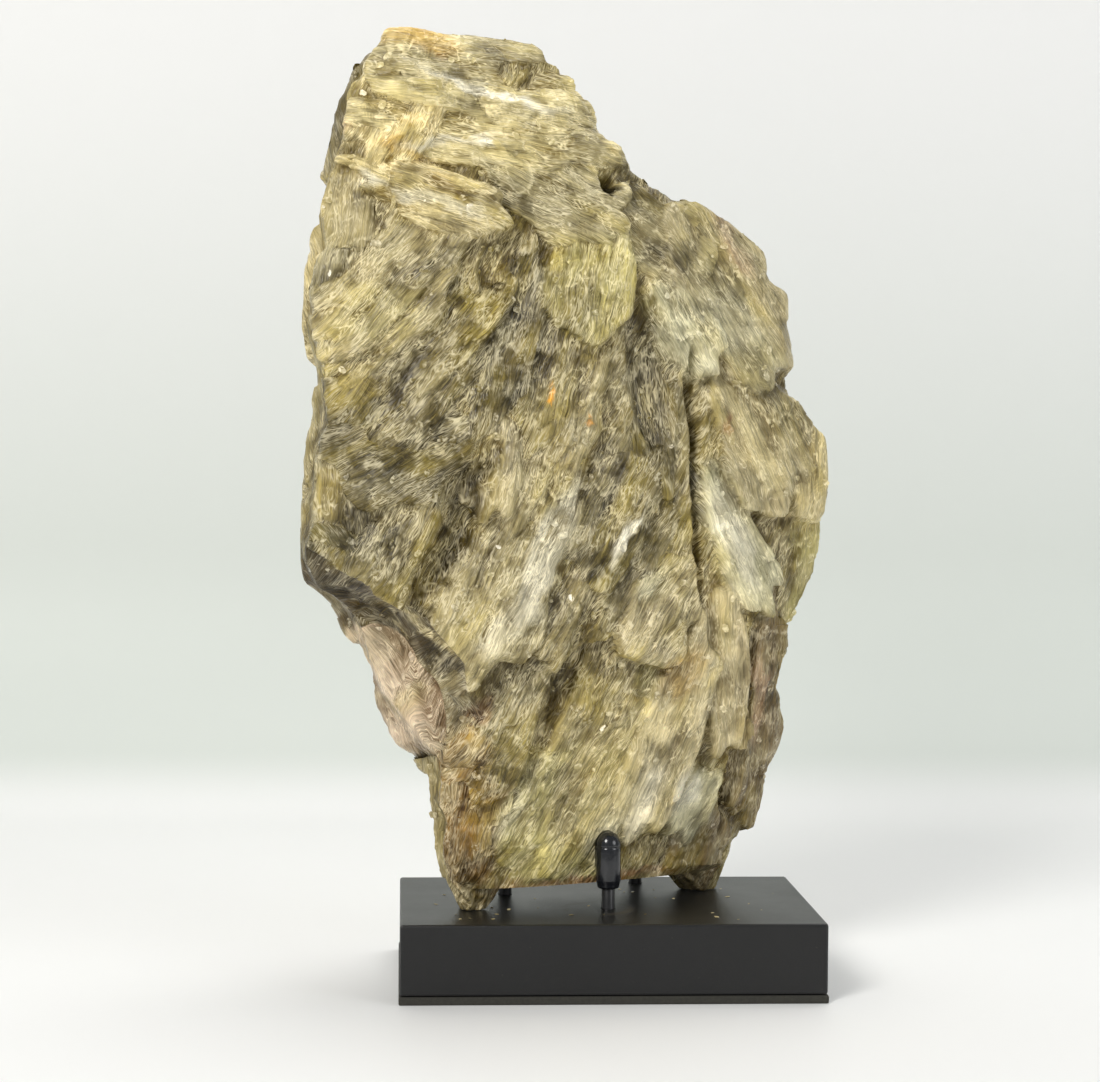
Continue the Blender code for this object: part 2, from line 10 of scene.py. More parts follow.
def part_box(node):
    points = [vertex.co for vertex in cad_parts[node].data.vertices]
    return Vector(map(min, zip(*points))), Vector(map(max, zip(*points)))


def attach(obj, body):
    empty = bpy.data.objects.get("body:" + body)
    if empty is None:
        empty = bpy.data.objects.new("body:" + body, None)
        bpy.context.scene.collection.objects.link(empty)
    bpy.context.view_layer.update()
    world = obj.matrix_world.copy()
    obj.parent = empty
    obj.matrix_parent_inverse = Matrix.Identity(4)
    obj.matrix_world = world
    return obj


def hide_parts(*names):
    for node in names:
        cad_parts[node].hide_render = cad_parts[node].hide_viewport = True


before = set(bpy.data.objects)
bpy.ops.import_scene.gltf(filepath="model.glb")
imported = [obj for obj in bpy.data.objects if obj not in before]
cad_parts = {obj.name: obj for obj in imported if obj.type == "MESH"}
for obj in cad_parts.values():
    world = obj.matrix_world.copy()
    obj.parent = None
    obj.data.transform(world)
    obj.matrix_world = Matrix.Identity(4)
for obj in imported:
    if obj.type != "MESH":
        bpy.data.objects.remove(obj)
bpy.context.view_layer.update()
mm = 0.001


# --- small helpers for shaders ---

class Value:
    # wraps a shader socket, so that maths on it reads as an expression
    def __init__(self, finish, socket):
        self.finish, self.socket = finish, socket

    def math(self, operation, *values):
        return self.finish.node("ShaderNodeMath", {"operation": operation}, dict(enumerate(values)))

    def __add__(self, other): return self.math("ADD", self, other)
    def __radd__(self, other): return self.math("ADD", other, self)
    def __sub__(self, other): return self.math("SUBTRACT", self, other)
    def __rsub__(self, other): return self.math("SUBTRACT", other, self)
    def __mul__(self, other): return self.math("MULTIPLY", self, other)
    def __rmul__(self, other): return self.math("MULTIPLY", other, self)
    def __truediv__(self, other): return self.math("DIVIDE", self, other)
    def __pow__(self, other): return self.math("POWER", self, other)
    def __abs__(self): return self.math("ABSOLUTE", self)
    def __gt__(self, other): return self.math("GREATER_THAN", self, other)

    def between(self, low, high):  # 0 at low, 1 at high, eased
        settings = {"interpolation_type": "SMOOTHSTEP"}
        inputs = {"Value": self, "From Min": low, "From Max": high}
        return self.finish.node("ShaderNodeMapRange", settings, inputs)


class Finish:
    # one material; its values are the shader's own sockets
    def __init__(self, name, **values):
        self.material = bpy.data.materials.new(name)
        self.material.use_nodes = True
        self.tree = self.material.node_tree
        self.shader = self.tree.nodes["Principled BSDF"]
        for socket, value in values.items():
            self.shader.inputs[socket.replace("_", " ")].default_value = value

    def node(self, kind, settings=None, inputs=None, output=0):
        made = self.tree.nodes.new(kind)
        for key, value in (settings or {}).items():
            setattr(made, key, value)
        for key, value in (inputs or {}).items():
            self.feed(made.inputs[key], value)
        return Value(self, made.outputs[output])

    def feed(self, socket, value):
        if isinstance(value, Value):
            self.tree.links.new(value.socket, socket)
        else:
            socket.default_value = value

    def drive(self, **values):  # links what varies into the shader
        for socket, value in values.items():
            self.feed(self.shader.inputs[socket.replace("_", " ")], value)

    def place(self):
        return self.node("ShaderNodeTexCoord", output="Object")

    def attribute(self, name, output="Vector"):
        return self.node("ShaderNodeAttribute", {"attribute_name": name}, output=output)

    def stretched(self, vector, scale, shift=(0, 0, 0)):
        inputs = {"Vector": vector, "Scale": scale, "Location": shift}
        return self.node("ShaderNodeMapping", inputs=inputs)

    def grainNoise(self, vector, scale=1.0, detail=2.0, roughness=0.5, colour=False):
        inputs = {"Vector": vector, "Scale": scale, "Detail": detail, "Roughness": roughness}
        return self.node("ShaderNodeTexNoise", inputs=inputs, output="Color" if colour else "Fac")

    def vector(self, operation, first, second):
        settings = {"operation": operation}
        return self.node("ShaderNodeVectorMath", settings, {0: first, 3 if operation == "SCALE" else 1: second})

    def grey(self, value):
        return self.node("ShaderNodeCombineXYZ", inputs={0: value, 1: value, 2: value})

    def parts(self, vector):
        made = self.node("ShaderNodeSeparateXYZ", inputs={"Vector": vector})
        return [Value(self, socket) for socket in made.socket.node.outputs]

    def mix(self, factor, first, second, blend="MIX"):
        settings = {"data_type": "RGBA", "blend_type": blend}
        made = self.node("ShaderNodeMix", settings, {0: factor, 6: first, 7: second}, output=2)
        return made

    def bump(self, height, distance, strength=1.0, normal=None):
        inputs = {"Height": height, "Distance": distance, "Strength": strength}
        if normal:
            inputs["Normal"] = normal
        return self.node("ShaderNodeBump", inputs=inputs)


def tone(red, green, blue):  # screen values 0-255 to a shader colour
    def linear(value):
        value /= 255
        return value / 12.92 if value <= 0.04045 else ((value + 0.055) / 1.055) ** 2.4
    return (linear(red), linear(green), linear(blue), 1.0)


def dress(piece, material, slot, replaced=None):
    piece.data.materials.clear()
    piece.data.materials.append(material)
    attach(piece, "root")
    if replaced:
        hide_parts(replaced)


# --- camera ---

cameraSet = {"place": (-76.6, -919.8, 194.7), "yaw": 3.442, "pitch": -2.029, "roll": 0.464,
             "lens": 81.42, "sensor": 36.0}


def makeCamera():
    yaw, pitch, roll = (math.radians(cameraSet[key]) for key in ("yaw", "pitch", "roll"))
    ahead = Vector((math.sin(yaw) * math.cos(pitch), math.cos(yaw) * math.cos(pitch), math.sin(pitch)))
    right = Vector((math.cos(yaw), -math.sin(yaw), 0))
    up = right.cross(ahead)
    right, up = (right * math.cos(roll) + up * math.sin(roll),
                 up * math.cos(roll) - right * math.sin(roll))
    data = bpy.data.cameras.new("camera")
    data.sensor_width, data.lens = cameraSet["sensor"], cameraSet["lens"]
    data.clip_start, data.clip_end = 0.01, 50
    camera = bpy.data.objects.new("camera", data)
    bpy.context.scene.collection.objects.link(camera)
    turn = Matrix((right, up, -ahead)).transposed().to_4x4()
    camera.matrix_world = Matrix.Translation(Vector(cameraSet["place"]) * mm) @ turn
    bpy.context.scene.camera = camera


makeCamera()
print("camera placed")


# --- floor, backdrop and lights ---

studio = {
    "floorTone": (243, 243, 242), "wallShadeTones": ((214, 219, 213), (237, 237, 236)),
    "sweep": {"front": -2.0, "bend": 0.38, "radius": 0.14, "height": 3.0, "halfWidth": 4.0},
    "world": ((0.93, 0.95, 0.96), 0.34),
    "lights": {  # place, aim, size, watts, colour
        "key": ((-1.0, -1.5, 1.35), (0, 0, 0.2), 0.75, 27, (1.0, 0.98, 0.94)),
        "fill": ((1.5, -1.1, 0.7), (0, 0, 0.2), 0.9, 7, (0.97, 0.99, 1.0)),
        "top": ((0.2, 0.3, 1.7), (0, 0, 0.15), 0.9, 9, (1.0, 1.0, 1.0)),
        "back": ((0.6, 1.0, 1.0), (0, 0.1, 0.2), 0.8, 4, (1.0, 1.0, 1.0)),
    },
}


def makeStudio():
    sweep = studio["sweep"]
    profile = [(sweep["front"], 0.0), (sweep["bend"], 0.0)]
    for step in range(1, 13):
        turn = math.pi / 2 * step / 12
        profile.append((sweep["bend"] + sweep["radius"] * math.sin(turn),
                        sweep["radius"] * (1 - math.cos(turn))))
    profile.append((profile[-1][0], sweep["height"]))
    bm = bmesh.new()
    rows = [[bm.verts.new((x, y, z)) for x in (-sweep["halfWidth"], sweep["halfWidth"])]
            for y, z in profile]
    for lower, upper in zip(rows, rows[1:]):
        bm.faces.new((lower[0], lower[1], upper[1], upper[0]))
    mesh = bpy.data.meshes.new("sweep")
    bm.to_mesh(mesh)
    bm.free()
    mesh.shade_smooth()
    floor = bpy.data.objects.new("sweep", mesh)
    bpy.context.scene.collection.objects.link(floor)
    paper = Finish("studio_paper", Roughness=0.55)
    _, _, height = paper.parts(paper.place())
    # painted shade: the wall is painted darker low down and lighter higher up
    wall = paper.mix(height.between(0.06, 0.48), *(tone(*shade) for shade in studio["wallShadeTones"]))
    fromBehind = paper.node("ShaderNodeNewGeometry", output="Backfacing")  # the wall is clear from its back
    paper.drive(Base_Color=paper.mix(height.between(0.0, 0.03), tone(*studio["floorTone"]), wall),
                Alpha=1 - fromBehind)
    mesh.materials.append(paper.material)

    world = bpy.data.worlds.new("studio")
    world.use_nodes = True
    colour, strength = studio["world"]
    background = world.node_tree.nodes["Background"]
    background.inputs["Color"].default_value = (*colour, 1.0)
    background.inputs["Strength"].default_value = strength
    bpy.context.scene.world = world

    for name, (place, aim, size, watts, colour) in studio["lights"].items():
        data = bpy.data.lights.new(name, "AREA")
        data.shape = "DISK"
        data.size, data.energy, data.color = size, watts, colour
        light = bpy.data.objects.new(name, data)
        light.location = place
        light.rotation_euler = (Vector(aim) - Vector(place)).to_track_quat("-Z", "Y").to_euler()
        bpy.context.scene.collection.objects.link(light)

    look = bpy.context.scene.view_settings
    look.view_transform, look.look = "Standard", "None"
    cycles = bpy.context.scene.cycles
    cycles.use_denoising = True
    cycles.max_bounces, cycles.diffuse_bounces, cycles.glossy_bounces = 5, 3, 2


makeStudio()
print("studio lit")


# --- the specimen: its form ---

# Slab space as in the solid: s along the slab, w out of its front and z up, in mm.
slab = {
    "pivot": (-7.0, 2.0), "turnAtFoot": 25.0, "turnAbove": 15.0, "twist": (30.0, 140.0),
    "squareness": 2.7, "rimRounding": (0.6, 1.6), "footPlane": 28.7,
    "rowStep": 0.5, "columns": 760, "backDensity": 0.5, "triangles": 150000,
}
leftRim = (
    (37, -53), (44, -55), (51, -58), (61, -57), (68, -60), (76, -59), (84, -61), (89, -68),
    (98, -74), (108, -80), (119, -84), (127, -87), (136, -91), (141, -95), (148, -104),
    (156, -108), (163, -108), (168, -106), (177, -105), (188, -104), (197, -103), (204, -101),
    (213, -101), (225, -102), (232, -104), (240, -106), (252, -105), (260, -104), (266, -100),
    (272, -101), (279, -102), (285, -101), (294, -97), (302, -95), (312, -93), (320, -92),
    (331, -85), (340, -78), (345, -73),
)
rightRim = (
    (37, 57), (46, 62), (56, 66), (65, 67), (75, 67), (81, 72), (89, 74), (101, 76), (110, 77),
    (120, 76), (132, 76), (138, 78), (143, 82), (151, 85), (161, 86), (172, 85), (180, 88),
    (186, 91), (194, 91), (201, 86), (207, 80), (213, 77), (226, 73), (235, 72), (242, 70),
    (252, 70), (259, 68), (266, 64), (272, 56), (277, 50), (282, 40), (288, 31), (293, 22),
    (297, 13), (302, 3), (307, -4), (312, -5), (318, -6), (325, -12), (332, -12), (336, -13),
    (340, -18), (342, -25), (344, -36), (345, -46),
)
thickness = ((37, 14), (60, 18), (80, 23), (105, 29), (140, 34), (210, 34), (255, 31), (290, 26),
             (318, 20), (334, 14), (342, 8), (345, 5))

# The front's books of sheets: centre s and z, half length, half width, angle, how far
# the middle stands out, lift of the right side and of the lower end in degrees, steps;
# then the finish and how flaky the face is.
frontBooks = {
    "capTop": (-50, 328, 40, 16, -5, 1.5, -3, -8, 2, "paleOlive", 0.7),
    "capFront": (-46, 309, 46, 17, -8, 2.5, 3, 6, 3, "paleOlive", 1.0),
    "capLeft": (-76, 316, 20, 14, 60, 2.0, 6, 4, 2, "straw", 0.8),
    "upperLeftFlank": (-92, 292, 25, 9, 80, 0.5, -14, 2, 2, "grey", 0.5),
    "whiteRidge": (-67, 284, 26, 11, -20, 3.5, 8, 8, 2, "straw", 0.9),
    "leftLobe": (-92, 252, 22, 14, 72, 2.0, -10, 8, 2, "greyGreen", 0.8),
    "leftDiagonalHigh": (-76, 262, 38, 13, 50, 3.0, 8, 4, 2, "grey", 1.0),
    "leftDiagonalMid": (-86, 238, 34, 12, 47, 3.0, 8, 5, 2, "grey", 1.0),
    "leftDiagonalLow": (-72, 224, 42, 17, 50, 3.0, 8, 5, 3, "moss", 1.0),
    "fibreLeft": (-42, 236, 36, 11, 72, 2.0, 7, 3, 2, "shade", 1.2),
    "fibreRight": (-22, 232, 42, 13, 70, 3.0, 10, 3, 3, "dusk", 1.2),
    "paleLobe": (-11, 258, 24, 17, 76, 5.0, 10, 9, 3, "lime", 0.9),
    "collar": (-24, 286, 28, 14, -24, 3.0, 4, 6, 2, "greyGreen", 1.0),
    "shoulderGrey": (15, 274, 24, 14, -37, 2.0, 3, 4, 2, "greyGreen", 0.25),
    "shoulderBrown": (44, 252, 38, 18, -55, 3.0, -4, 4, 2, "dun", 0.3),
    "paleLobeRight": (25, 241, 20, 11, -62, 4.5, 4, 9, 2, "silver", 0.7),
    "rightFacet": (54, 208, 34, 18, -68, 3.0, -3, 5, 2, "dun", 0.4),
    "rightKnob": (79, 191, 21, 12, 84, 4.0, 6, 8, 2, "straw", 0.5),
    "oliveRight": (78, 153, 21, 9, 88, 1.0, 6, 2, 2, "lime", 0.3),
    "centreLeftPlate": (-75, 197, 26, 18, 30, 4.5, 6, 10, 3, "shade", 1.1),
    "leftEdgeFace": (-93, 194, 30, 11, 88, 2.0, -6, 4, 2, "olive", 0.7),
    "centreTongue": (-46, 190, 19, 9, 78, 6.0, 6, 12, 2, "dun", 0.7),
    "mainLobeHigh": (-26, 196, 40, 14, 68, 3.5, 12, 4, 3, "grey", 1.0),
    "mainLobe": (-38, 160, 50, 17, 63, 4.5, 13, 5, 3, "grey", 0.9),
    "mainLobeFoot": (-58, 129, 26, 14, 52, 4.0, 8, 12, 2, "cream", 1.0),
    "leftBottomFace": (-86, 166, 36, 18, 62, 3.0, 5, 8, 2, "moss", 1.0),
    "brownUnderface": (-76, 124, 34, 12, -54, 0.0, 22, 0, 2, "umber", 0.5),
    "darkKnob": (-99, 154, 15, 10, -59, 3.0, 8, 2, 2, "blackGreen", 0.4),
    "greyTongue": (-40, 98, 28, 12, 60, 3.0, 10, 7, 2, "dusk", 1.0),
    "amberLowerLeft": (-50, 72, 36, 13, 76, 2.5, -8, 3, 2, "amber", 0.8),
    "recessFloor": (12, 214, 34, 10, 96, 0.0, 4, 2, 2, "shade", 0.7),
    "centrePlate": (0, 180, 34, 16, 62, 2.5, 10, 6, 3, "shade", 1.1),
    "centrePlateLow": (-12, 146, 30, 11, 56, 2.0, 9, 7, 2, "dusk", 1.0),
    "oliveBand": (8, 158, 34, 9, 58, 1.0, 7, 4, 2, "moss", 0.7),
    "lowerBigFace": (-6, 78, 50, 28, 58, 1.5, 5, 3, 3, "lime", 0.6),
    "lowerRightFace": (21, 92, 42, 13, 70, 4.0, 6, 2, 2, "beige", 0.5),
    "midPatch": (17, 140, 22, 15, 52, 3.5, 6, 9, 2, "dun", 0.9),
    "whiteBlade": (45, 166, 30, 10, -64, 4.0, 6, 5, 2, "silver", 0.5),
    "beigeBlade": (43, 116, 32, 11, 94, 4.0, 10, 3, 2, "beige", 0.2),
    "brownEdgeStrip": (61, 100, 46, 10, 87, 1.5, 4, 2, 2, "brown", 0.6),
    "whiteDiamond": (34, 66, 15, 11, 57, 3.5, 6, 7, 2, "silver", 0.3),
    "brownFacet": (40, 47, 18, 13, 68, 3.0, 4, 3, 2, "brown", 0.3),
}
books = {
    "squareness": 2.3, "taper": 0.3, "stepHeight": (1.3, 2.2), "proudLimit": 8.0,
    "deepest": -24.0, "steepest": 0.35, "swell": (1.4, 0.05),
}
sheets = {"step": 0.55, "riser": 0.35, "crispness": 0.75, "softness": 0.55, "softCells": 2}
hollows = {  # centre s and z, half length, half width, angle, depth
    "blackPit": (-3.5, 291, 4.6, 4.0, 80, 11.0),
    "creviceHigh": (29, 214, 20, 2.8, 96, 8.0),
    "crevice": (31, 176, 40, 2.1, 93, 8.0),
    "recess": (12, 226, 32, 9.0, 97, 6.0),
    "goldenCavity": (-62, 166, 28, 7.0, 62, 8.0),
    "plateShadow": (-54, 188, 15, 6.0, 50, 6.0),
    "lowerGroove": (-21, 112, 36, 5.5, 70, 5.5),
    "fibreTop": (-44, 262, 14, 6.5, 66, 4.5),
    "flankGroove": (-85, 288, 20, 4.0, 84, 2.0),
    "knobGroove": (-96, 143, 24, 4.5, -50, 5.0),
    "edgeGroove": (53, 92, 42, 3.0, 84, 5.5),
}
back = {"rows": (52, 84, 116, 148, 180, 212, 244, 276, 304, 326), "pitch": 34.0, "margin": 14.0,
        "seed": 11, "finishes": ("grey", "olive", "straw", "greyGreen", "dun", "shade", "cream")}
rims = {"band": 6.5, "relief": 0.8, "fineBand": 1.1, "fineRelief": 0.35, "from": 0.30, "to": 0.12,
        "unevenness": 0.12, "frontReach": 0.3}
ridge = ((84, -54), (107, -55), (122, -57), (137, -70), (144, -82), (157, -101), (163, -107))
feldsparBorder = ((84, -62), (100, -63), (111, -66), (116, -75), (132, -88))
ridgeProud, feldsparFace = 3.0, 7.0
plainGrain = (0.0, 180.0, 64.0)  # where no book lies on top: centre s and z, angle
feet = {
    "left": {"s": -47.5, "top": (15, 10), "bottom": (4.2, 4.6), "height": 26, "seed": 1, "lean": 4.0},
    "right": {"s": 49, "top": (17, 11), "bottom": (6, 5.6), "height": 20, "seed": 2, "lean": -3.0},
}
rubberTip = {"dome": 1.15, "room": 0.35, "bore": 2.52, "mouthRound": 1.0, "neck": 0.5, "flare": 3.2,
             "ringBelowTip": 5.2, "ringDepth": 0.22}
# Small scale-like lobes over every face: how many, half length, how far the free end rises.
lobes = (
    {"front": 260, "back": 150, "halfLength": (9.0, 20.0), "rise": (1.0, 2.6), "wander": 14.0, "seed": 5},
    {"front": 1100, "back": 500, "halfLength": (3.0, 9.0), "rise": (0.5, 1.3), "wander": 20.0, "seed": 6},
)
lobeSlimness = (0.36, 0.62)
boxSoft, boxEdge = 3.0, 0.5


def ramp(value, start, end):
    return np.clip((value - start) / (end - start), 0.0, 1.0)


def eased(value, start, end):
    t = ramp(value, start, end)
    return t * t * (3 - 2 * t)


def readRows(rows, z):
    heights, values = zip(*rows)
    return np.interp(z, heights, values)


def slabTurn(z):
    share = eased(z, *slab["twist"])
    return np.radians(slab["turnAtFoot"] + (slab["turnAbove"] - slab["turnAtFoot"]) * share)


def fromRow(places):  # the row frame to slab space
    x, y, z = places.T
    turn = slabTurn(z)
    x, y = x - slab["pivot"][0], y - slab["pivot"][1]
    return x * np.cos(turn) + y * np.sin(turn), x * np.sin(turn) - y * np.cos(turn), z


def toRow(points):  # slab space to the row frame
    s, w, z = points.T
    turn = slabTurn(z)
    x = slab["pivot"][0] + s * np.cos(turn) + w * np.sin(turn)
    y = slab["pivot"][1] + s * np.sin(turn) - w * np.cos(turn)
    return np.stack([x, y, z], axis=1)


def coreSection(z):
    left = readRows(leftRim, z) + slab["rimRounding"][0]
    right = readRows(rightRim, z) - slab["rimRounding"][1]
    return (left + right) / 2, (right - left) / 2, readRows(thickness, z)


def coreFace(s, z):
    middle, reach, half = coreSection(z)
    across = np.clip(np.abs(s - middle) / reach, 0, 1)
    return half * (1 - across ** slab["squareness"]) ** (1 / slab["squareness"])


def unitSection(columns):  # a blunt lens, with more points on its front half
    turn = np.linspace(0, 2 * np.pi, 4001)
    cosine, sine = np.cos(turn), np.sin(turn)
    x = np.sign(cosine) * np.abs(cosine) ** (2 / slab["squareness"])
    y = np.sign(sine) * np.abs(sine) ** (2 / slab["squareness"])
    _, reach, half = coreSection(180.0)
    lengths = np.hypot(np.diff(x * reach), np.diff(y * half))
    lengths *= np.where(y[1:] > -0.2, 1.0, slab["backDensity"])
    travelled = np.concatenate([[0], np.cumsum(lengths)])
    places = np.linspace(0, travelled[-1], columns, endpoint=False)
    return np.interp(places, travelled, x), np.interp(places, travelled, y)


def plainSlab():
    bottom, top = thickness[0][0], thickness[-1][0]
    z = np.linspace(bottom, top, int((top - bottom) / slab["rowStep"]) + 1)
    middle, reach, half = coreSection(z)
    x, y = unitSection(slab["columns"])
    points = np.empty((len(z), slab["columns"], 3))
    points[..., 0] = middle[:, None] + reach[:, None] * x
    points[..., 1] = half[:, None] * y
    points[..., 2] = z[:, None]
    around = np.roll(points, -1, axis=1) - np.roll(points, 1, axis=1)
    normals = np.cross(around, np.gradient(points, axis=0))
    normals /= np.linalg.norm(normals, axis=2, keepdims=True)
    return points, normals


def softNoise(x, y, seed):  # smooth 2-D noise, -1 to 1, its cells one unit wide
    table = np.random.default_rng(seed).uniform(-1, 1, (256, 256))
    left, low = np.floor(x).astype(int), np.floor(y).astype(int)
    across, up = x - left, y - low
    across, up = across * across * (3 - 2 * across), up * up * (3 - 2 * up)
    left, right, low, high = left & 255, (left + 1) & 255, low & 255, (low + 1) & 255
    lower = table[left, low] * (1 - across) + table[right, low] * across
    upper = table[left, high] * (1 - across) + table[right, high] * across
    return lower * (1 - up) + upper * up


def terraced(height, step, riser=0.22):  # flat treads with short risers
    level = height / step
    tread = np.floor(level)
    return step * (tread + ramp(level - tread, 1 - riser, 1.0))


def blur(field, cells):  # a box average over so many cells each way, twice
    for axis in (0, 1, 0, 1):
        widths = [(0, 0), (0, 0)]
        widths[axis] = (cells + 1, cells)
        padded = np.pad(field, widths, "edge" if axis == 0 else "wrap")
        sums = np.cumsum(padded, axis=axis)
        span = 2 * cells + 1
        if axis == 0:
            field = (sums[span:] - sums[:-span]) / span
        else:
            field = (sums[:, span:] - sums[:, :-span]) / span
    return field


def inPlaneAxes(angle):  # in (s, z): down a long side at that angle, and to its right
    a = math.radians(angle)
    along = (math.cos(a), math.sin(a))
    if along[1] > 0:
        along = (-along[0], -along[1])
    return along, (-along[1], along[0])


def inGrain(place, s, z):  # coordinates along and across the grain that starts at a place
    s0, z0, angle = place
    along, across = inPlaneAxes(angle)
    return ((s - s0) * along[0] + (z - z0) * along[1], (s - s0) * across[0] + (z - z0) * across[1])


def raggedEdge(around, rng, roughness=0.045):
    radius = np.ones_like(around)
    for waves in range(2, 10):
        radius += roughness * rng.uniform(0.3, 1.2) * np.cos(waves * around + rng.uniform(0, 6.28))
    return radius


def meanSlope(s, z):
    step, limit = 8.0, 0.5
    slopeS = (coreFace(s + step, z) - coreFace(s - step, z)) / (2 * step)
    slopeZ = (coreFace(s, z + step) - coreFace(s, z - step)) / (2 * step)
    return float(np.clip(slopeS, -limit, limit)), float(np.clip(slopeZ, -limit, limit))


def bookSheets(spec, points, normals, side, rng, seed):
    # how far one book lifts each point, where it covers, and its own grain coordinates
    s0, z0, halfLength, halfWidth, angle, proud, lift, dip, steps = spec
    along, across = inPlaneAxes(angle)
    s, z = points[..., 0] - s0, points[..., 2] - z0
    u, v = s * along[0] + z * along[1], s * across[0] + z * across[1]
    taper = 1 + rng.uniform(0.0, books["taper"]) * np.clip(u / halfLength, -1, 1)
    around = np.arctan2(v / halfWidth, u / halfLength)
    power = books["squareness"]
    spread = np.abs(u / halfLength) ** power + np.abs(v / (halfWidth * taper)) ** power
    spread = spread ** (1 / power) / raggedEdge(around, rng)
    spread *= 1 + 0.035 * softNoise(u / 4.5, v / 4.5, seed) + 0.015 * softNoise(u / 1.7, v / 1.7, seed + 1)
    slope = meanSlope(s0, z0)
    pitchX, pitchY = math.tan(math.radians(dip)), math.tan(math.radians(lift))
    slopeS = slope[0] + pitchX * along[0] + pitchY * across[0]
    slopeZ = slope[1] + pitchX * along[1] + pitchY * across[1]
    face = coreFace(s0, z0) + proud + slopeS * s + slopeZ * z
    lean = side * normals[..., 1] - slopeS * normals[..., 0] - slopeZ * normals[..., 2]
    height = (face - side * points[..., 1]) / np.maximum(lean, books["steepest"])
    # it thins towards its edge, sooner on the lower right
    fall = rng.uniform(*books["stepHeight"]) * (steps - 1)
    band = (1.5 + 0.05 * halfWidth) / halfWidth * (1 + 0.5 * np.cos(around - 0.8)) * (steps - 1)
    height = height - fall * eased(spread, 1 - band, 1.0)
    covered = (spread < 1) & (side * normals[..., 1] > 0.05)
    return height, covered, u, v


def backBooks():
    rng = random.Random(back["seed"])
    for row, z in enumerate(back["rows"]):
        middle, reach, _ = coreSection(z)
        left, right = middle - reach + back["margin"], middle + reach - back["margin"]
        count = max(1, round((right - left) / back["pitch"]))
        for k in range(count + 1):
            share = (k + 0.5 * (row % 2)) / count
            if share <= 1:
                yield (
                    left + (right - left) * share + rng.uniform(-6, 6),
                    z + rng.uniform(-8, 8),
                    rng.uniform(28, 58),
                    rng.uniform(12, 22),
                    rng.gauss(116, 16),
                    rng.uniform(0.5, 4.0),
                    rng.uniform(4, 12),
                    rng.uniform(2, 9),
                    rng.choice((2, 3)),
                )


def solidName(name):  # the solid's own seed word for a book
    return "".join("_" + letter.lower() if letter.isupper() else letter for letter in name)


def allBooks():  # spec, side, random source, finish and flakiness of every book
    for name, (*spec, finish, flaky) in frontBooks.items():
        yield spec, 1, random.Random(solidName(name)), finish, flaky
    for index, spec in enumerate(backBooks()):
        finish = back["finishes"][index * 5 % len(back["finishes"])]
        yield spec, -1, random.Random(index), finish, 0.6 + 0.1 * (index % 6)


def bowl(spec, points):
    s0, z0, halfLength, halfWidth, angle, depth = spec
    along, across = inPlaneAxes(angle)
    s, z = points[..., 0] - s0, points[..., 2] - z0
    x = (s * along[0] + z * along[1]) / halfLength
    y = (s * across[0] + z * across[1]) / halfWidth
    return depth * np.sqrt(np.clip(1 - x * x - y * y, 0, 1))


def solidNoise(points, scale, shift):  # the same slow noise as in the solid
    places = points.reshape(-1, 3) * scale + shift
    values = np.fromiter((noise.noise(place) for place in places), float, len(places))
    return values.reshape(points.shape[:-1])


def rimBands(points):
    drift = solidNoise(points, (0.0, 0.0, 0.02), (3.1, 5.2, 0.0)) * rims["band"]
    band = np.floor((points[..., 1] + drift) / rims["band"])
    lanes = np.stack([band * 7.31, band * 3.7, points[..., 2]], axis=-1)
    broad = solidNoise(lanes, (1.0, 1.0, 0.045), (0.5, 0.5, 0.0)) * rims["relief"]
    fine = np.floor((points[..., 1] + drift * 0.6) / rims["fineBand"])
    narrow = softNoise(fine * 0.77 + 9.5, points[..., 2] * 0.14, 31) * rims["fineRelief"]
    return broad + narrow, fine


def cutUnderface(lift, points, normals):
    s, w, z = points[..., 0], points[..., 1], points[..., 2]
    edge = readRows(ridge, z)
    face = coreFace(edge, z) + ridgeProud - (edge - s)
    feldspar = (s < readRows(feldsparBorder, z)) & (z < feldsparBorder[-1][0])
    face = np.where(feldspar, np.minimum(face, feldsparFace), face)
    trimmed = np.minimum(lift, (face - w) / np.maximum(normals[..., 1], books["steepest"]))
    below = (s < edge) & (z > ridge[0][0]) & (z < ridge[-1][0])
    inside = below & (normals[..., 1] > 0.1)
    return np.where(inside, trimmed, lift), below, feldspar & below


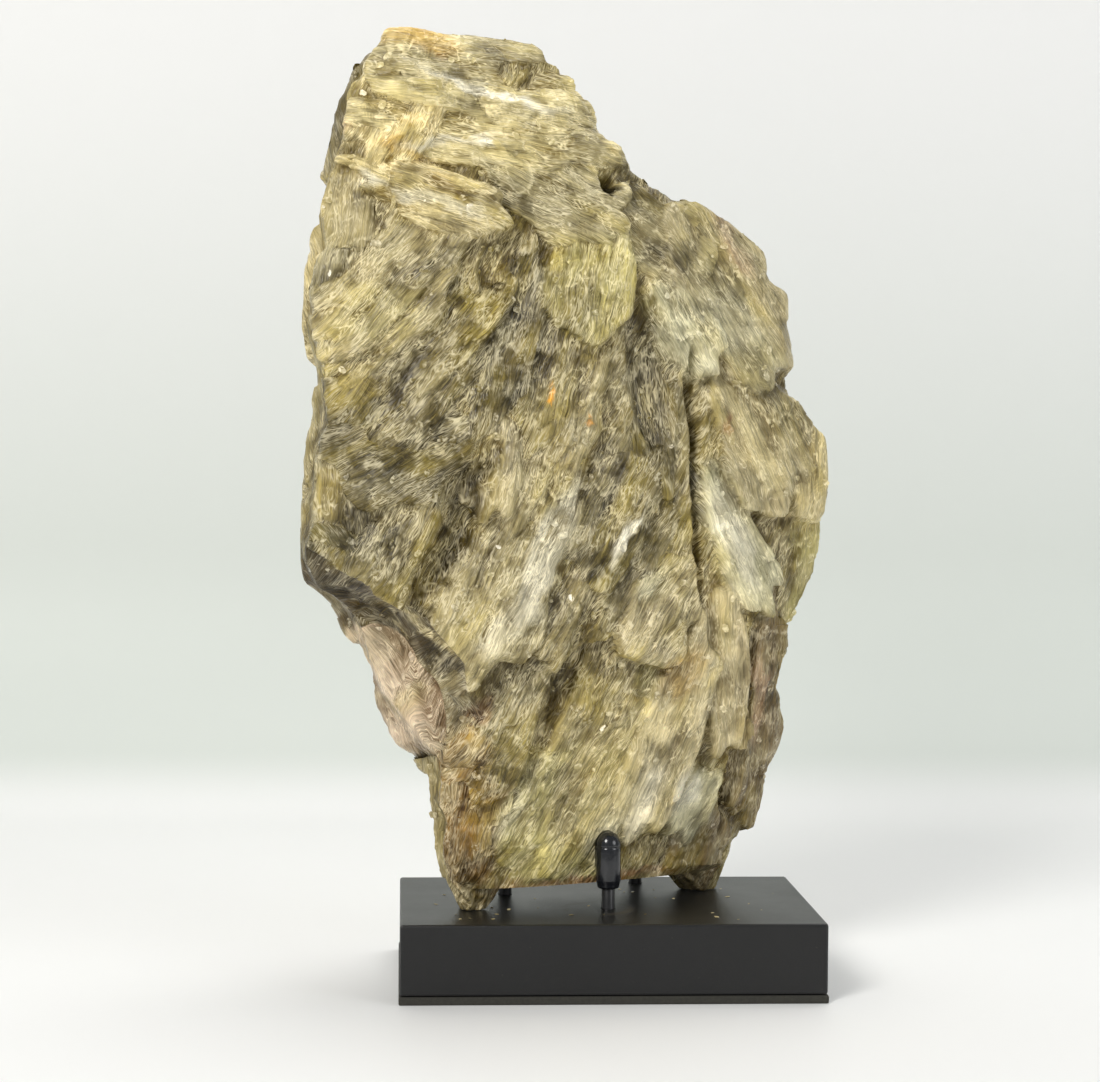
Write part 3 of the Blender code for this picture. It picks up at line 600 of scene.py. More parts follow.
def scaleLobes(points, normals, angles, kind):
    # scale-like lobes: each rises from its head to a free lower end, where it breaks off
    rng = random.Random(kind["seed"])
    heights, tones, ends = (np.zeros(points.shape[:2]) for _ in range(3))
    rowZ = points[:, 0, 2]
    shortest, longest = kind["halfLength"]
    for side, count in ((1, kind["front"]), (-1, kind["back"])):
        facing = side * normals[len(rowZ) // 2, :, 1] > (-0.05 if side > 0 else 0.25)
        columns = np.nonzero(facing)[0]
        for _ in range(count):
            row = rng.randrange(4, len(rowZ) - 4)
            column = columns[rng.randrange(len(columns))]
            s0, z0 = points[row, column, 0], points[row, column, 2]
            along, across = inPlaneAxes(angles[row, column] + rng.gauss(0, kind["wander"]))
            halfLength = shortest + (longest - shortest) * rng.random() ** 2
            halfWidth = halfLength * rng.uniform(*lobeSlimness)
            rise = rng.uniform(*kind["rise"]) * (0.5 + 0.5 * halfLength / longest)
            lobeTone = rng.uniform(-1, 1)
            low, high = np.searchsorted(rowZ, (z0 - halfLength * 1.2, z0 + halfLength * 1.2))
            window = np.s_[low:high, columns[np.abs(points[row, columns, 0] - s0) < halfLength * 1.3]]
            s, z = points[window][..., 0] - s0, points[window][..., 2] - z0
            u = (s * along[0] + z * along[1]) / halfLength
            v = (s * across[0] + z * across[1]) / halfWidth
            spread = np.hypot(u, v) / raggedEdge(np.arctan2(v, u), rng, 0.06)
            climb = rise * eased(u + 0.35 * v, -1.1, 0.8)
            height = climb * (1 - 0.8 * eased(spread, 0.68, 1.0))
            above = (spread < 1) & (height > heights[window])
            # painted highlight: end marks each lobe's free end, where the colour is painted brighter
            end = eased(spread, 0.80, 0.97) * eased(u + 0.35 * v, 0.0, 0.6)
            for field, value in ((heights, height), (tones, lobeTone), (ends, end)):
                field[window] = np.where(above, value, field[window])
    return heights, tones, ends


def insideBox(shape, box):  # eases in what would pass the solid's box
    places = toRow(shape.reshape(-1, 3))
    for axis in range(3):
        low, high = (corner[axis] / mm for corner in box)
        over = np.maximum(places[:, axis] - (high - boxEdge - boxSoft), 0)
        places[:, axis] -= over - boxSoft * (1 - np.exp(-over / boxSoft))
        if axis < 2:
            under = np.maximum(low + boxEdge + boxSoft - places[:, axis], 0)
            places[:, axis] += under - boxSoft * (1 - np.exp(-under / boxSoft))
    return np.stack(fromRow(places), axis=-1).reshape(shape.shape)


def growSpecimen():
    points, normals = plainSlab()
    rowZ = points[:, 0, 2]
    swell, frequency = books["swell"]
    lift = solidNoise(points, (frequency, frequency, frequency), (0.0, 0.0, 0.0)) * swell
    grain = {key: np.zeros(lift.shape) for key in ("u", "v", "book", "angle", "flaky")}
    grain["u"], grain["v"] = inGrain(plainGrain, points[..., 0], points[..., 2])
    grain["angle"] += plainGrain[2]
    grain["flaky"] += 0.8
    kinds = [("olive", plainGrain)]
    for number, (spec, side, rng, finish, flaky) in enumerate(allBooks(), start=1):
        reach = max(spec[2], spec[3]) * 1.35
        low, high = np.searchsorted(rowZ, (spec[1] - reach, spec[1] + reach))
        window = np.s_[low:high]
        height, covered, u, v = bookSheets(spec, points[window], normals[window], side, rng, number * 7)
        higher = covered & (height > lift[window])
        lift[window] = np.where(higher, height, lift[window])
        facts = {"u": u, "v": v, "book": number, "angle": spec[4], "flaky": flaky}
        for key, value in facts.items():
            grain[key][window] = np.where(higher, value, grain[key][window])
        kinds.append((finish, (spec[0], spec[1], spec[4])))
    front = normals[..., 1] > 0
    hollow = np.zeros(lift.shape)
    for spec in hollows.values():
        hollow = hollow + np.where(front, bowl(spec, points), 0)
    lift, underface, feldspar = cutUnderface(lift - hollow, points, normals)
    facing = np.abs(normals[..., 1])
    lift = np.clip(lift, books["deepest"], books["proudLimit"] * ramp(facing, 0.1, 0.55))
    soft = sheets["softness"]
    lift = (1 - soft) * lift + soft * blur(lift, sheets["softCells"])

    filled = np.maximum(lift, blur(lift, 12) - 0.3)
    lift = lift + (filled - lift) * ramp(facing, 0.85, 0.55)

    # lobes and waves along the grain, then everything ends in thin sheets
    u, v, k = grain["u"], grain["v"], grain["book"] * 11.7
    waves = 0.9 * softNoise(u / 24 + k, v / 7.5, 41) + 0.5 * softNoise(u / 11, v / 3.4 + k, 42)
    waves += 0.22 * softNoise(u / 5, v / 1.7 + k, 43)
    large, small = (scaleLobes(points, normals, grain["angle"], kind) for kind in lobes)
    scales = large[0] + small[0]
    rounded = np.maximum(normals[..., 1] + rims["frontReach"], -normals[..., 1])  # the front's relief rolls over
    calm = np.where((feldspar | underface) & front, 0.2, 1.0) * ramp(rounded, 0.15, 0.5)
    height = lift + (waves * grain["flaky"] + scales * (0.4 + 0.6 * np.minimum(grain["flaky"], 1.0)) - 1.1) * calm
    level = height / sheets["step"]
    part = sheets["crispness"] * calm
    lift = height * (1 - part) + terraced(height, sheets["step"], sheets["riser"]) * part

    unevenly = softNoise(points[..., 2] / 9, points[..., 1] / 9, 44) + 0.5 * softNoise(points[..., 2] / 3, points[..., 1] / 3, 45)
    rim = eased(rounded + rims["unevenness"] * unevenly * ramp(rounded, 0.5, 0.3), rims["from"], rims["to"])
    bands, fineBand = rimBands(points)
    lift = lift * (1 - rim) + (bands + np.clip(blur(lift, 14), -4, 0.8) - 0.9) * rim
    underside = thickness[0][0]
    lift = lift * ramp(points[..., 2], underside, underside + 4)
    shape = points + normals * lift[..., None]
    shape = insideBox(shape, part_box("mica_crystal"))

    stepZ = np.gradient(level, axis=0) / slab["rowStep"]
    stepS = (np.roll(level, -1, axis=1) - np.roll(level, 1, axis=1))
    stepS /= np.maximum(np.linalg.norm(np.roll(points, -1, axis=1) - np.roll(points, 1, axis=1), axis=2), 0.05)
    wide = blur(height, 16)
    marks = {
        "level": level, "steep": blur(np.hypot(stepZ, stepS), 1), "flaky": grain["flaky"] * (1 - rim),
        # painted shade: cavityShade is how far a spot lies below its wider surroundings, plus the hollows; the colour
        # is darkened there
        "cavityShade": (ramp(wide - blur(height, 3), -0.5, 3.0) + 0.4 * ramp(hollow, 0.5, 5.0)) * (1 - 0.8 * rim),
        # painted highlight: crestHighlight marks lobe ends that are painted bright
        "crestHighlight": np.maximum(large[2] * calm, 0.6 * small[2] * calm), "lobeTone": (0.24 * large[1] + 0.12 * small[1]) * calm,
        # painted highlight and shade: relief is positive on small rises and negative in small dips; rises are painted
        # lighter, dips darker
        "relief": np.clip((blur(height, 1) - blur(height, 4)) / 0.35, -1, 1),
        "underface": underface, "feldspar": feldspar, "rim": rim, "fineBand": fineBand, "front": front,
        "edgeOn": np.where(front, ramp(facing, 0.45, 0.25), ramp(facing, 0.8, 0.4)),
    }
    print("relief grown:", shape.shape)
    return points, shape, grain, marks, kinds


def gridMesh(name, shape):
    rows, columns = shape.shape[:2]
    index = np.arange(rows * columns).reshape(rows, columns)
    beside = np.roll(index, -1, axis=1)
    quads = np.stack([index[:-1], index[1:], beside[1:], beside[:-1]], axis=-1).reshape(-1, 4)
    ends = []
    centres = [rows * columns, rows * columns + 1]
    for centre, ring, other in ((centres[0], beside[0], index[0]), (centres[1], index[-1], beside[-1])):
        ends.extend(zip([centre] * columns, other.tolist(), ring.tolist()))
    caps = [shape[0].mean(axis=0), shape[-1].mean(axis=0)]
    places = toRow(np.vstack([shape.reshape(-1, 3), caps])) * mm
    mesh = bpy.data.meshes.new(name)
    mesh.from_pydata(places.tolist(), [], quads.tolist() + ends)
    piece = bpy.data.objects.new(name, mesh)
    bpy.context.scene.collection.objects.link(piece)
    return piece


def meshPiece(name, bm):
    bmesh.ops.recalc_face_normals(bm, faces=bm.faces)
    mesh = bpy.data.meshes.new(name)
    bm.to_mesh(mesh)
    bm.free()
    piece = bpy.data.objects.new(name, mesh)
    bpy.context.scene.collection.objects.link(piece)
    return piece


def settle(piece):  # puts the evaluated mesh in place of the piece's own
    graph = bpy.context.evaluated_depsgraph_get()
    mesh = bpy.data.meshes.new_from_object(piece.evaluated_get(graph))
    piece.modifiers.clear()
    piece.data = mesh


def combine(core, helpers, operation):
    group = bpy.data.collections.new("helpers")
    bpy.context.scene.collection.children.link(group)
    for helper in helpers:
        bpy.context.scene.collection.objects.unlink(helper)
        group.objects.link(helper)
    modifier = core.modifiers.new(operation, "BOOLEAN")
    modifier.operation, modifier.solver = operation, "MANIFOLD"
    modifier.operand_type, modifier.collection = "COLLECTION", group
    settle(core)
    for helper in helpers:
        bpy.data.objects.remove(helper, do_unlink=True)
    bpy.data.collections.remove(group)


def footPiece(foot):  # a rough stub that flares into the specimen above it
    rings, sides = 40, 88
    turn = np.linspace(0, 2 * np.pi, sides, endpoint=False)
    bm = bmesh.new()
    rows = []
    for k in range(rings + 1):
        t = k / rings
        z = slab["footPlane"] - 0.3 + (foot["height"] + 0.3) * t
        flare = t ** 0.75
        halfS = foot["bottom"][0] + (foot["top"][0] - foot["bottom"][0]) * flare
        halfW = foot["bottom"][1] + (foot["top"][1] - foot["bottom"][1]) * flare
        lumps = softNoise(np.cos(turn) * 1.3 + 9, np.sin(turn) * 1.3 + z / 9, 60 + foot["seed"]) * 1.6
        chips = softNoise(np.cos(turn) * 4 + 9, np.sin(turn) * 4 + z / 2.6, 61 + foot["seed"]) * 1.1
        reach = lumps * (0.4 + t) + terraced(chips, 0.45)
        places = np.stack([foot["s"] + foot["lean"] * flare + (halfS + reach) * np.cos(turn),
                           (halfW + reach) * np.sin(turn), np.full(sides, z)], axis=1)
        rows.append([bm.verts.new(place) for place in toRow(places) * mm])
    for lower, upper in zip(rows, rows[1:]):
        for i in range(sides):
            j = (i + 1) % sides
            bm.faces.new((lower[i], lower[j], upper[j], upper[i]))
    bm.faces.new(rows[0][::-1])
    bm.faces.new(rows[-1])
    return meshPiece("foot", bm)


def turned(name, centre, profile, sides=64):  # a closed solid of revolution; first and last on the axis
    bm = bmesh.new()
    rings = []
    for radius, z in profile[1:-1]:
        rings.append([bm.verts.new(((centre[0] + radius * math.cos(2 * math.pi * i / sides)) * mm,
                                    (centre[1] + radius * math.sin(2 * math.pi * i / sides)) * mm, z * mm))
                      for i in range(sides)])
    for first, second in zip(rings, rings[1:]):
        for i in range(sides):
            j = (i + 1) % sides
            bm.faces.new((first[i], first[j], second[j], second[i]))
    for ring, (_, z) in ((rings[0], profile[0]), (rings[-1], profile[-1])):
        pole = bm.verts.new((centre[0] * mm, centre[1] * mm, z * mm))
        for i in range(sides):
            bm.faces.new((pole, ring[i], ring[(i + 1) % sides]))
    return meshPiece(name, bm)


def sleeveAt(node):  # centre, radius, mouth and tip of a sleeve, from its solid
    low, high = (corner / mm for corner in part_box(node))
    return ((low.x + high.x) / 2, (low.y + high.y) / 2), (high.x - low.x) / 2, low.z, high.z


def domed(radius, tip, steps=12):  # from the straight side up to the tip
    height = radius * rubberTip["dome"]
    turns = [math.pi / 2 * k / steps for k in range(steps)]
    return [(radius * math.cos(turn), tip - height + height * math.sin(turn)) for turn in turns] + [(0, tip)]


def roomPiece(node):  # clear air round a rod's sleeve
    centre, radius, _, tip = sleeveAt(node)
    radius, tip = radius + rubberTip["room"], tip + rubberTip["room"]
    return turned("room", centre, [(0, 0), (radius, 0)] + domed(radius, tip))


def boxPiece(low, high):
    bm = bmesh.new()
    bmesh.ops.create_cube(bm, size=1.0)
    low, high = Vector(low), Vector(high)
    bmesh.ops.scale(bm, vec=high - low, verts=bm.verts)
    bmesh.ops.translate(bm, vec=(low + high) / 2, verts=bm.verts)
    return meshPiece("box", bm)


# --- the specimen: its colours ---

palette = {
    "paleOlive": (198, 183, 130), "oliveGold": (164, 146, 66), "straw": (210, 192, 136), "greyGreen": (170, 158, 116),
    "grey": (158, 144, 100), "dusk": (132, 118, 74), "olive": (142, 126, 72), "moss": (114, 100, 50),
    "shade": (94, 82, 42), "lime": (186, 174, 110), "dun": (168, 154, 114), "silver": (190, 184, 150),
    "cream": (188, 171, 120), "brown": (108, 88, 50), "umber": (72, 56, 24), "blackGreen": (54, 52, 32),
    "amber": (126, 92, 26), "beige": (196, 181, 138), "feldspar": (208, 186, 160),
    "gold": (188, 146, 48), "orange": (236, 160, 40), "rust": (150, 84, 34), "white": (246, 240, 218),
    "ink": (12, 11, 8), "deepGold": (66, 52, 14), "pink": (208, 174, 142),
}
# Patches of colour on the front: centre s and z, half length, half width, angle, tone, share.
patches = {
    "topGoldEdge": (-68, 338, 17, 3.5, 5, "gold", 0.6),
    # painted highlight: a white streak along the top of the cap's ridge
    "capRidgeHighlight": (-45, 322, 28, 2.6, -13, "white", 0.75),
    "capSparkle": (-50, 303, 2.6, 2.2, -42, "white", 1.0),
    "capGold": (-78, 300, 8, 3.6, -20, "gold", 0.6),
    "capPinkLeft": (-92, 311, 6, 3.3, -78, "pink", 0.5),
    "capFold": (-62, 304, 20, 1.6, 12, "white", 0.6),
    "flankDark": (-97, 295, 8, 2.0, -85, "ink", 0.6),
    "lobeAmber": (-64, 286, 10, 5, -34, "amber", 0.5),
    "lobeCreamEdge": (-69, 283, 22, 2.6, -17, "white", 0.75),
    "lobeCreamHead": (-88, 288, 4, 3.5, 0, "white", 0.7),
    "capOlive": (-42, 284, 13, 9, -70, "deepGold", 0.3),
    "glintOrange": (-33, 261, 2.4, 0.8, -82, "orange", 1.0),
    "darkA": (-59, 251, 5, 4, -43, "ink", 0.5),
    "darkB": (-28, 256, 5, 4, -38, "ink", 0.5),
    # painted shade: the pit hollow is painted near-black
    "pitShade": (-4, 291, 3.6, 3.2, -89, "ink", 1.0),
    "goldRight": (2, 302, 7, 2.2, -45, "gold", 0.6),
    "triFacet": (18, 265, 12, 7, -34, "shade", 0.55),
    "shoulderPink": (45, 270, 16, 4, -52, "pink", 0.4),
    "whiteLobe": (28, 243, 15, 6.7, -54, "silver", 0.5),
    # painted shade: the recess, the slot and the crevice below are painted dark
    "recessShade": (8, 226, 24, 8, -77, "deepGold", 0.6),
    "slotShade": (25, 212, 17, 3.4, -76, "ink", 0.6),
    "crevice": (33, 173, 28, 2.0, -83, "ink", 0.65),
    "orangeOne": (-28, 214, 5, 0.7, 60, "orange", 0.95),
    "orangeTwo": (41, 205, 4, 1.6, -83, "rust", 0.6),
    "glintTwo": (-12, 207, 1.8, 0.6, -70, "orange", 0.8),
    "leftOliveTop": (-85, 242, 16, 11, 21, "lime", 0.35),
    "fibreDark": (-38, 231, 22, 9, 67, "shade", 0.75),
    "oliveLeft": (-72, 205, 14, 8, -21, "deepGold", 0.4),
    # painted shade: the golden cavity is darkened; its gold hue is the mica's own
    "goldenCavityShade": (-58, 169, 27, 6.0, 67, "deepGold", 0.9),
    "knob": (-104, 153, 12, 7, -59, "ink", 0.45),
    # painted highlight: the main lobe's pale right edge, bright for how it faces the light
    "mainLobeHighlight": (-28, 160, 30, 6.5, 68, "white", 0.6),
    "tongueCream": (-47, 180, 8, 5, -70, "cream", 0.5),
    "ridgeGold": (-72, 134, 20, 1.9, -41, "cream", 0.8),
    "centreDark": (0, 187, 16, 8, 58, "deepGold", 0.55),
    "centreEdge": (-1, 161, 19, 1.8, 58, "white", 0.7),
    "whiteBlade": (45, 163, 22, 6, -70, "white", 0.5),
    "brownSpot": (59, 179, 5, 4, -79, "brown", 0.8),
    "brownStrip": (50, 104, 38, 4.4, -88, "brown", 0.5),
    "pinkStrip": (60, 102, 22, 2.6, -92, "pink", 0.6),
    "whitePatch": (13, 147, 8, 5.5, 48, "silver", 0.7),
    "goldPatch": (23, 115, 14, 7, 47, "gold", 0.5),
    "legGold": (-54, 84, 16, 8, -80, "gold", 0.4),
    "legPink": (-51, 103, 5, 4, 43, "rust", 0.35),
    "silverLow": (-42, 64, 12, 7, 59, "silver", 0.9),
    "faceGreen": (-10, 84, 33, 7, 51, "olive", 0.5),
    "faceWhite": (4, 64, 24, 11, 51, "white", 0.6),
    "diamond": (30, 72, 9, 7, 68, "white", 0.6),
    "footBrown": (-63, 42, 8, 6, -53, "brown", 0.5),
    # painted shade: the lower groove is painted darker
    "grooveShade": (-20, 121, 19, 3.7, 76, "shade", 0.6),
    "creamTongue": (-45, 134, 13, 6, 49, "white", 0.35),
    "undersideRust": (-4, 38, 44, 2.6, 2, "rust", 0.7),
    "legAmber": (-54, 68, 30, 13, -84, "amber", 0.85),
    "centreDeep": (4, 205, 26, 10, 70, "shade", 0.6),
    "fibreDeep": (-30, 236, 26, 10, 68, "deepGold", 0.35),
    "facePale": (-4, 78, 36, 16, 56, "straw", 0.6),
    "shoulderPale": (46, 238, 30, 12, -58, "silver", 0.55),
    "facetPale": (56, 200, 24, 14, -68, "straw", 0.5),
    "leftShade": (-88, 176, 22, 9, 70, "shade", 0.6),
    "centreShade": (-18, 244, 18, 7, 70, "shade", 0.7),
    "groovePale": (-64, 222, 18, 4, 50, "grey", 0.4),
}
tints = {"highlightWhite": (248, 238, 206), "deep": (54, 46, 16), "hueDrift": 0.55}


def linearTone(name):
    return np.array(tone(*palette[name])[:3])


def patchShare(spec, s, z):
    s0, z0, halfLength, halfWidth, angle = spec
    along, across = inPlaneAxes(angle)
    u = ((s - s0) * along[0] + (z - z0) * along[1]) / halfLength
    v = ((s - s0) * across[0] + (z - z0) * across[1]) / halfWidth
    return 1 - eased(np.hypot(u, v), 0.55, 1.15)


def paintSpecimen(points, grain, marks, kinds):
    s, z = points[..., 0], points[..., 2]
    colours = np.array([linearTone(name) for name, _ in kinds])
    tint = colours[grain["book"].astype(int)]
    tint = np.stack([blur(tint[..., channel], 4) for channel in range(3)], axis=-1)
    bandTones = np.array([linearTone(name) for name in ("grey", "olive", "shade", "dun", "straw", "greyGreen")])
    banded = bandTones[(marks["fineBand"].astype(int) * 7) % len(bandTones)]
    tint = tint + (banded - tint) * (0.35 * marks["rim"])[..., None]
    # painted shade: the downward underface is painted dark umber, partly its own brown and partly its shade
    for name, where in (("umber", marks["underface"]), ("feldspar", marks["feldspar"])):
        tint = np.where(where[..., None], linearTone(name), tint)
    s = s + 2.2 * softNoise(s / 6, z / 6, 71) + 0.8 * softNoise(s / 2, z / 2, 72)
    z = z + 2.2 * softNoise(s / 6, z / 6, 73) + 0.8 * softNoise(s / 2, z / 2, 74)
    for *spec, name, share in patches.values():
        amount = patchShare(spec, s, z) * share * marks["front"]
        tint = tint + (linearTone(name) - tint) * amount[..., None]
    drift = softNoise(grain["u"] / 17 + grain["book"] * 3.1, grain["v"] / 7, 75)[..., None] * tints["hueDrift"]
    warm, cool = linearTone("oliveGold"), linearTone("greyGreen")
    tint = tint + (warm - tint) * np.clip(drift, 0, 1) + (cool - tint) * np.clip(-drift, 0, 1)
    return np.clip(tint * (1 + marks["lobeTone"])[..., None], 0, 1)


def writeMarks(piece, shape, tint, grain, marks, kinds):
    # gives every vertex the colour and relief of the grown surface nearest to it
    tree = kdtree.KDTree(shape.shape[0] * shape.shape[1])
    for index, place in enumerate(toRow(shape.reshape(-1, 3)) * mm):
        tree.insert(place, index)
    tree.balance()
    mesh = piece.data
    nearest = np.array([tree.find(vertex.co)[1] for vertex in mesh.vertices])
    level = [marks[key].reshape(-1)[nearest] for key in ("level", "steep", "flaky")]
    relief = [marks[key].reshape(-1)[nearest] for key in ("cavityShade", "crestHighlight", "relief")]
    tones = np.hstack([tint.reshape(-1, 3), np.ones((tint.size // 3, 1))])[nearest]
    # the grain is laid face by face, so that it breaks off cleanly where a book ends
    under = np.array([tree.find(face.center)[1] for face in mesh.polygons])
    onRim = marks["rim"].reshape(-1)[under] > 0.6
    book = np.where(onRim, -1, grain["book"].reshape(-1)[under].astype(int))
    book = np.repeat(book, [face.loop_total for face in mesh.polygons])
    corners = np.empty(len(mesh.loops), int)
    mesh.loops.foreach_get("vertex_index", corners)
    places = np.empty(len(mesh.vertices) * 3)
    mesh.vertices.foreach_get("co", places)
    s, w, z = (values[corners] for values in fromRow(places.reshape(-1, 3) / mm))
    edgeOn = marks["edgeOn"].reshape(-1)[nearest][corners]
    starts = np.array([place for _, place in kinds] + [(0.0, 180.0, 90.0)]).T
    turns = np.radians(starts[2])
    alongS = np.where(np.sin(turns) > 0, -np.cos(turns), np.cos(turns))[book]
    alongZ = -np.abs(np.sin(turns))[book]
    s0, z0 = starts[0][book], starts[1][book]
    u = (s - s0) * alongS + (z - z0) * alongZ
    v = np.where(book < 0, w, (z - z0) * alongS - (s - s0) * alongZ + w * edgeOn)
    columns = (("tint", "FLOAT_COLOR", "POINT", "color", tones),
               ("sheets", "FLOAT_VECTOR", "POINT", "vector", np.stack(level, axis=-1)),
               ("marks", "FLOAT_VECTOR", "POINT", "vector", np.stack(relief, axis=-1)),
               ("flow", "FLOAT_VECTOR", "CORNER", "vector", np.stack([u, v, book * 13.7], axis=-1)))
    for name, kind, domain, field, values in columns:
        made = mesh.attributes.new(name, kind, domain)
        made.data.foreach_set(field, values.astype(np.float32).ravel())


def micaFinish():
    mica = Finish("pearly_mica", Roughness=0.4, IOR=1.56, Specular_IOR_Level=0.3)
    tint = mica.attribute("tint", "Color")
    flow = mica.attribute("flow")
    level, steep, flaky = mica.parts(mica.attribute("sheets"))
    cavityShade, crestHighlight, relief = mica.parts(mica.attribute("marks"))
    broad = mica.grainNoise(mica.place(), 55.0, 2)
    crumbs = mica.grainNoise(mica.place(), 650.0, 3, 0.7)
    showing = (flaky * (broad * 1.9 - 0.02)).between(0.15, 1.15)

    # the grain wanders a little to each side
    wander = mica.grainNoise(mica.stretched(flow, (0.055, 0.11, 1), (7, 3, 0)), detail=2.5, colour=True)
    wander = mica.vector("SUBTRACT", wander, (0.5, 0.5, 0.5))
    wavy = mica.vector("ADD", flow, mica.vector("MULTIPLY", wander, (9.0, 4.2, 0.0)))
    large = mica.grainNoise(mica.stretched(wavy, (0.040, 0.15, 1)), detail=1.5, roughness=0.45)
    medium = mica.grainNoise(mica.stretched(wavy, (0.075, 0.46, 1), (5, 31, 0)), detail=1.0)
    small = mica.grainNoise(mica.stretched(wavy, (0.13, 1.1, 1), (3, 7, 0)), detail=1.0)
    thread = mica.grainNoise(mica.stretched(wavy, (0.11, 2.1, 1), (13, 17, 0)), detail=2.0)
    hair = mica.grainNoise(mica.stretched(wavy, (0.30, 4.5, 1), (2, 5, 0)), detail=1.0)
    plate = mica.node("ShaderNodeTexVoronoi", {"feature": "F1"},
                      {"Vector": mica.stretched(wavy, (0.05, 0.15, 1), (1, 4, 0)), "Scale": 1.0}, "Color")
    tilt, sway, _ = mica.parts(plate)

    # torn sheets one over another: each ends along a line where a noise passes a value, and that edge is painted as a
    # highlight line
    edges, height = 0.0, large * 1.2 + medium * 0.8 + small * 0.3 * showing + hair * 0.06 + crumbs * 0.06
    for value, at, width, thick, bright in (
            (large, 0.40, 0.014, 0.35, 1.0), (large, 0.49, 0.012, 0.25, 0.8), (large, 0.58, 0.014, 0.35, 1.0),
            (medium, 0.38, 0.030, 0.20, 0.9), (medium, 0.47, 0.026, 0.14, 0.7), (medium, 0.56, 0.030, 0.20, 0.9),
            (medium, 0.66, 0.030, 0.20, 0.9), (small, 0.42, 0.055, 0.09, 0.7), (small, 0.58, 0.055, 0.09, 0.8)):
        sheet = value.between(at - width, at + width)
        edges = edges + sheet * (1 - sheet) * (4 * bright)
        height = height + sheet * thick
    edges = edges * mica.grainNoise(mica.place(), 130.0, 2).between(0.36, 0.60)

    shade = (0.86 + (broad - 0.5) * 2.2 + (large - 0.5) * 1.3 + (medium - 0.5) * (0.5 + showing * 0.7)
             + (small - 0.5) * (0.2 + showing * 0.6) + (thread - 0.5) * (0.25 + showing * 1.1)
             + (hair - 0.5) * (0.2 + showing * 0.45) + (tilt - 0.5) * 0.26 + (crumbs - 0.5) * 0.3)

    # the thick sheets' edges: a painted highlight above each step, fading back, and painted shade below it
    share = level.math("FRACT", level)
    above = share / steep.math("MAXIMUM", steep, 0.12)
    below = (1 - share) / steep.math("MAXIMUM", steep, 0.12)
    lipHighlight = (1 - above.between(0.10, 0.50)) * medium.between(0.45, 0.55)
    stepShadow = (1 - below.between(0.1, 1.3)) * medium.between(0.45, 0.55)
    _, lit, _ = mica.parts(tint)
    # painted highlights: glow brightens the tint above each step, along light threads and hairs, and on small rises
    glow = lipHighlight * 0.2 + thread.between(0.58, 0.72) * (0.1 + showing * 0.6) + hair.between(0.60, 0.74) * 0.3
    glow = glow + relief.between(0.0, 1.0) * 0.25
    # painted highlights: lines are sheet edges and lobe ends, blended towards a near-white highlight colour
    lines = edges * (0.40 + showing * 0.45) + crestHighlight.between(0.3, 0.9) * (0.2 + thread.between(0.35, 0.6) * 0.5)
    lines = lines * lit.between(0.0, 0.10)
    # dark is partly painted shade (below each step, in hollows and in small dips) and partly darker streaks in the
    # grain; it blends towards the deep tone
    dark = stepShadow * 0.15 + large.between(0.46, 0.30) * 0.40 + medium.between(0.44, 0.27) * showing * 0.50
    dark = dark + thread.between(0.45, 0.30) * (0.1 + showing * 0.6)
    dark = dark + cavityShade.between(0.05, 0.9) * 0.75 + relief.between(-0.2, -1.0) * 0.2 + broad.between(0.48, 0.32) * 0.4

    deep = mica.mix(0.65, tone(*tints["deep"]), mica.mix(1.0, tint, tint, "MULTIPLY"))
    body = mica.mix(1.0, tint, mica.grey(shade), "MULTIPLY")
    body = mica.mix(dark.math("MINIMUM", dark, 0.92), body, deep)
    body = mica.mix(glow.math("MINIMUM", glow, 0.9), body, mica.vector("SCALE", tint, 1.75))
    pale = mica.mix(0.5, mica.vector("SCALE", tint, 2.2), tone(*tints["highlightWhite"]))
    body = mica.mix(lines.math("MINIMUM", lines, 0.95), body, pale)
    height = height + (tilt - 0.5) * 0.5 - share * 0.12
    mica.drive(Base_Color=body, Roughness=0.20 + medium * 0.30 + sway * 0.06, Normal=mica.bump(height, 0.001, 0.9))
    return mica.material


def makeSpecimen():
    points, shape, grain, marks, kinds = growSpecimen()
    piece = gridMesh("mica_specimen", shape)
    thin = piece.modifiers.new("thin", "DECIMATE")
    thin.ratio = slab["triangles"] / (2 * slab["columns"] * shape.shape[0])
    settle(piece)
    print("specimen thinned to", len(piece.data.polygons))
    combine(piece, [footPiece(foot) for foot in feet.values()], "UNION")
    rooms = [roomPiece(name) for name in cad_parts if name.endswith("_sleeve")]
    below = boxPiece((-0.3, -0.3, -0.1), (0.3, 0.3, slab["footPlane"] * mm))
    combine(piece, rooms + [below], "DIFFERENCE")
    tint = paintSpecimen(points, grain, marks, kinds)
    writeMarks(piece, shape, tint, grain, marks, kinds)
    piece.data.shade_smooth()
    piece.data.set_sharp_from_angle(angle=math.radians(38))
    dress(piece, micaFinish(), "mica", "mica_crystal")
    return piece


specimen = makeSpecimen()
print("specimen made:", len(specimen.data.polygons), "faces")


# --- the stand's finishes ---

stand = {
    "paint": ((15, 15, 16), (25, 25, 25)), "dust": (120, 114, 100), "scuff": (104, 103, 98),
    "ringCentre": (-4.0, -18.5), "ring": (9.0, 11.0, 12.2, 14.5), "foam": ((34, 34, 30), (64, 62, 55)),
    "enamel": ((22, 22, 23), (40, 40, 41)), "rubber": ((14, 16, 20), (26, 28, 33)),
}


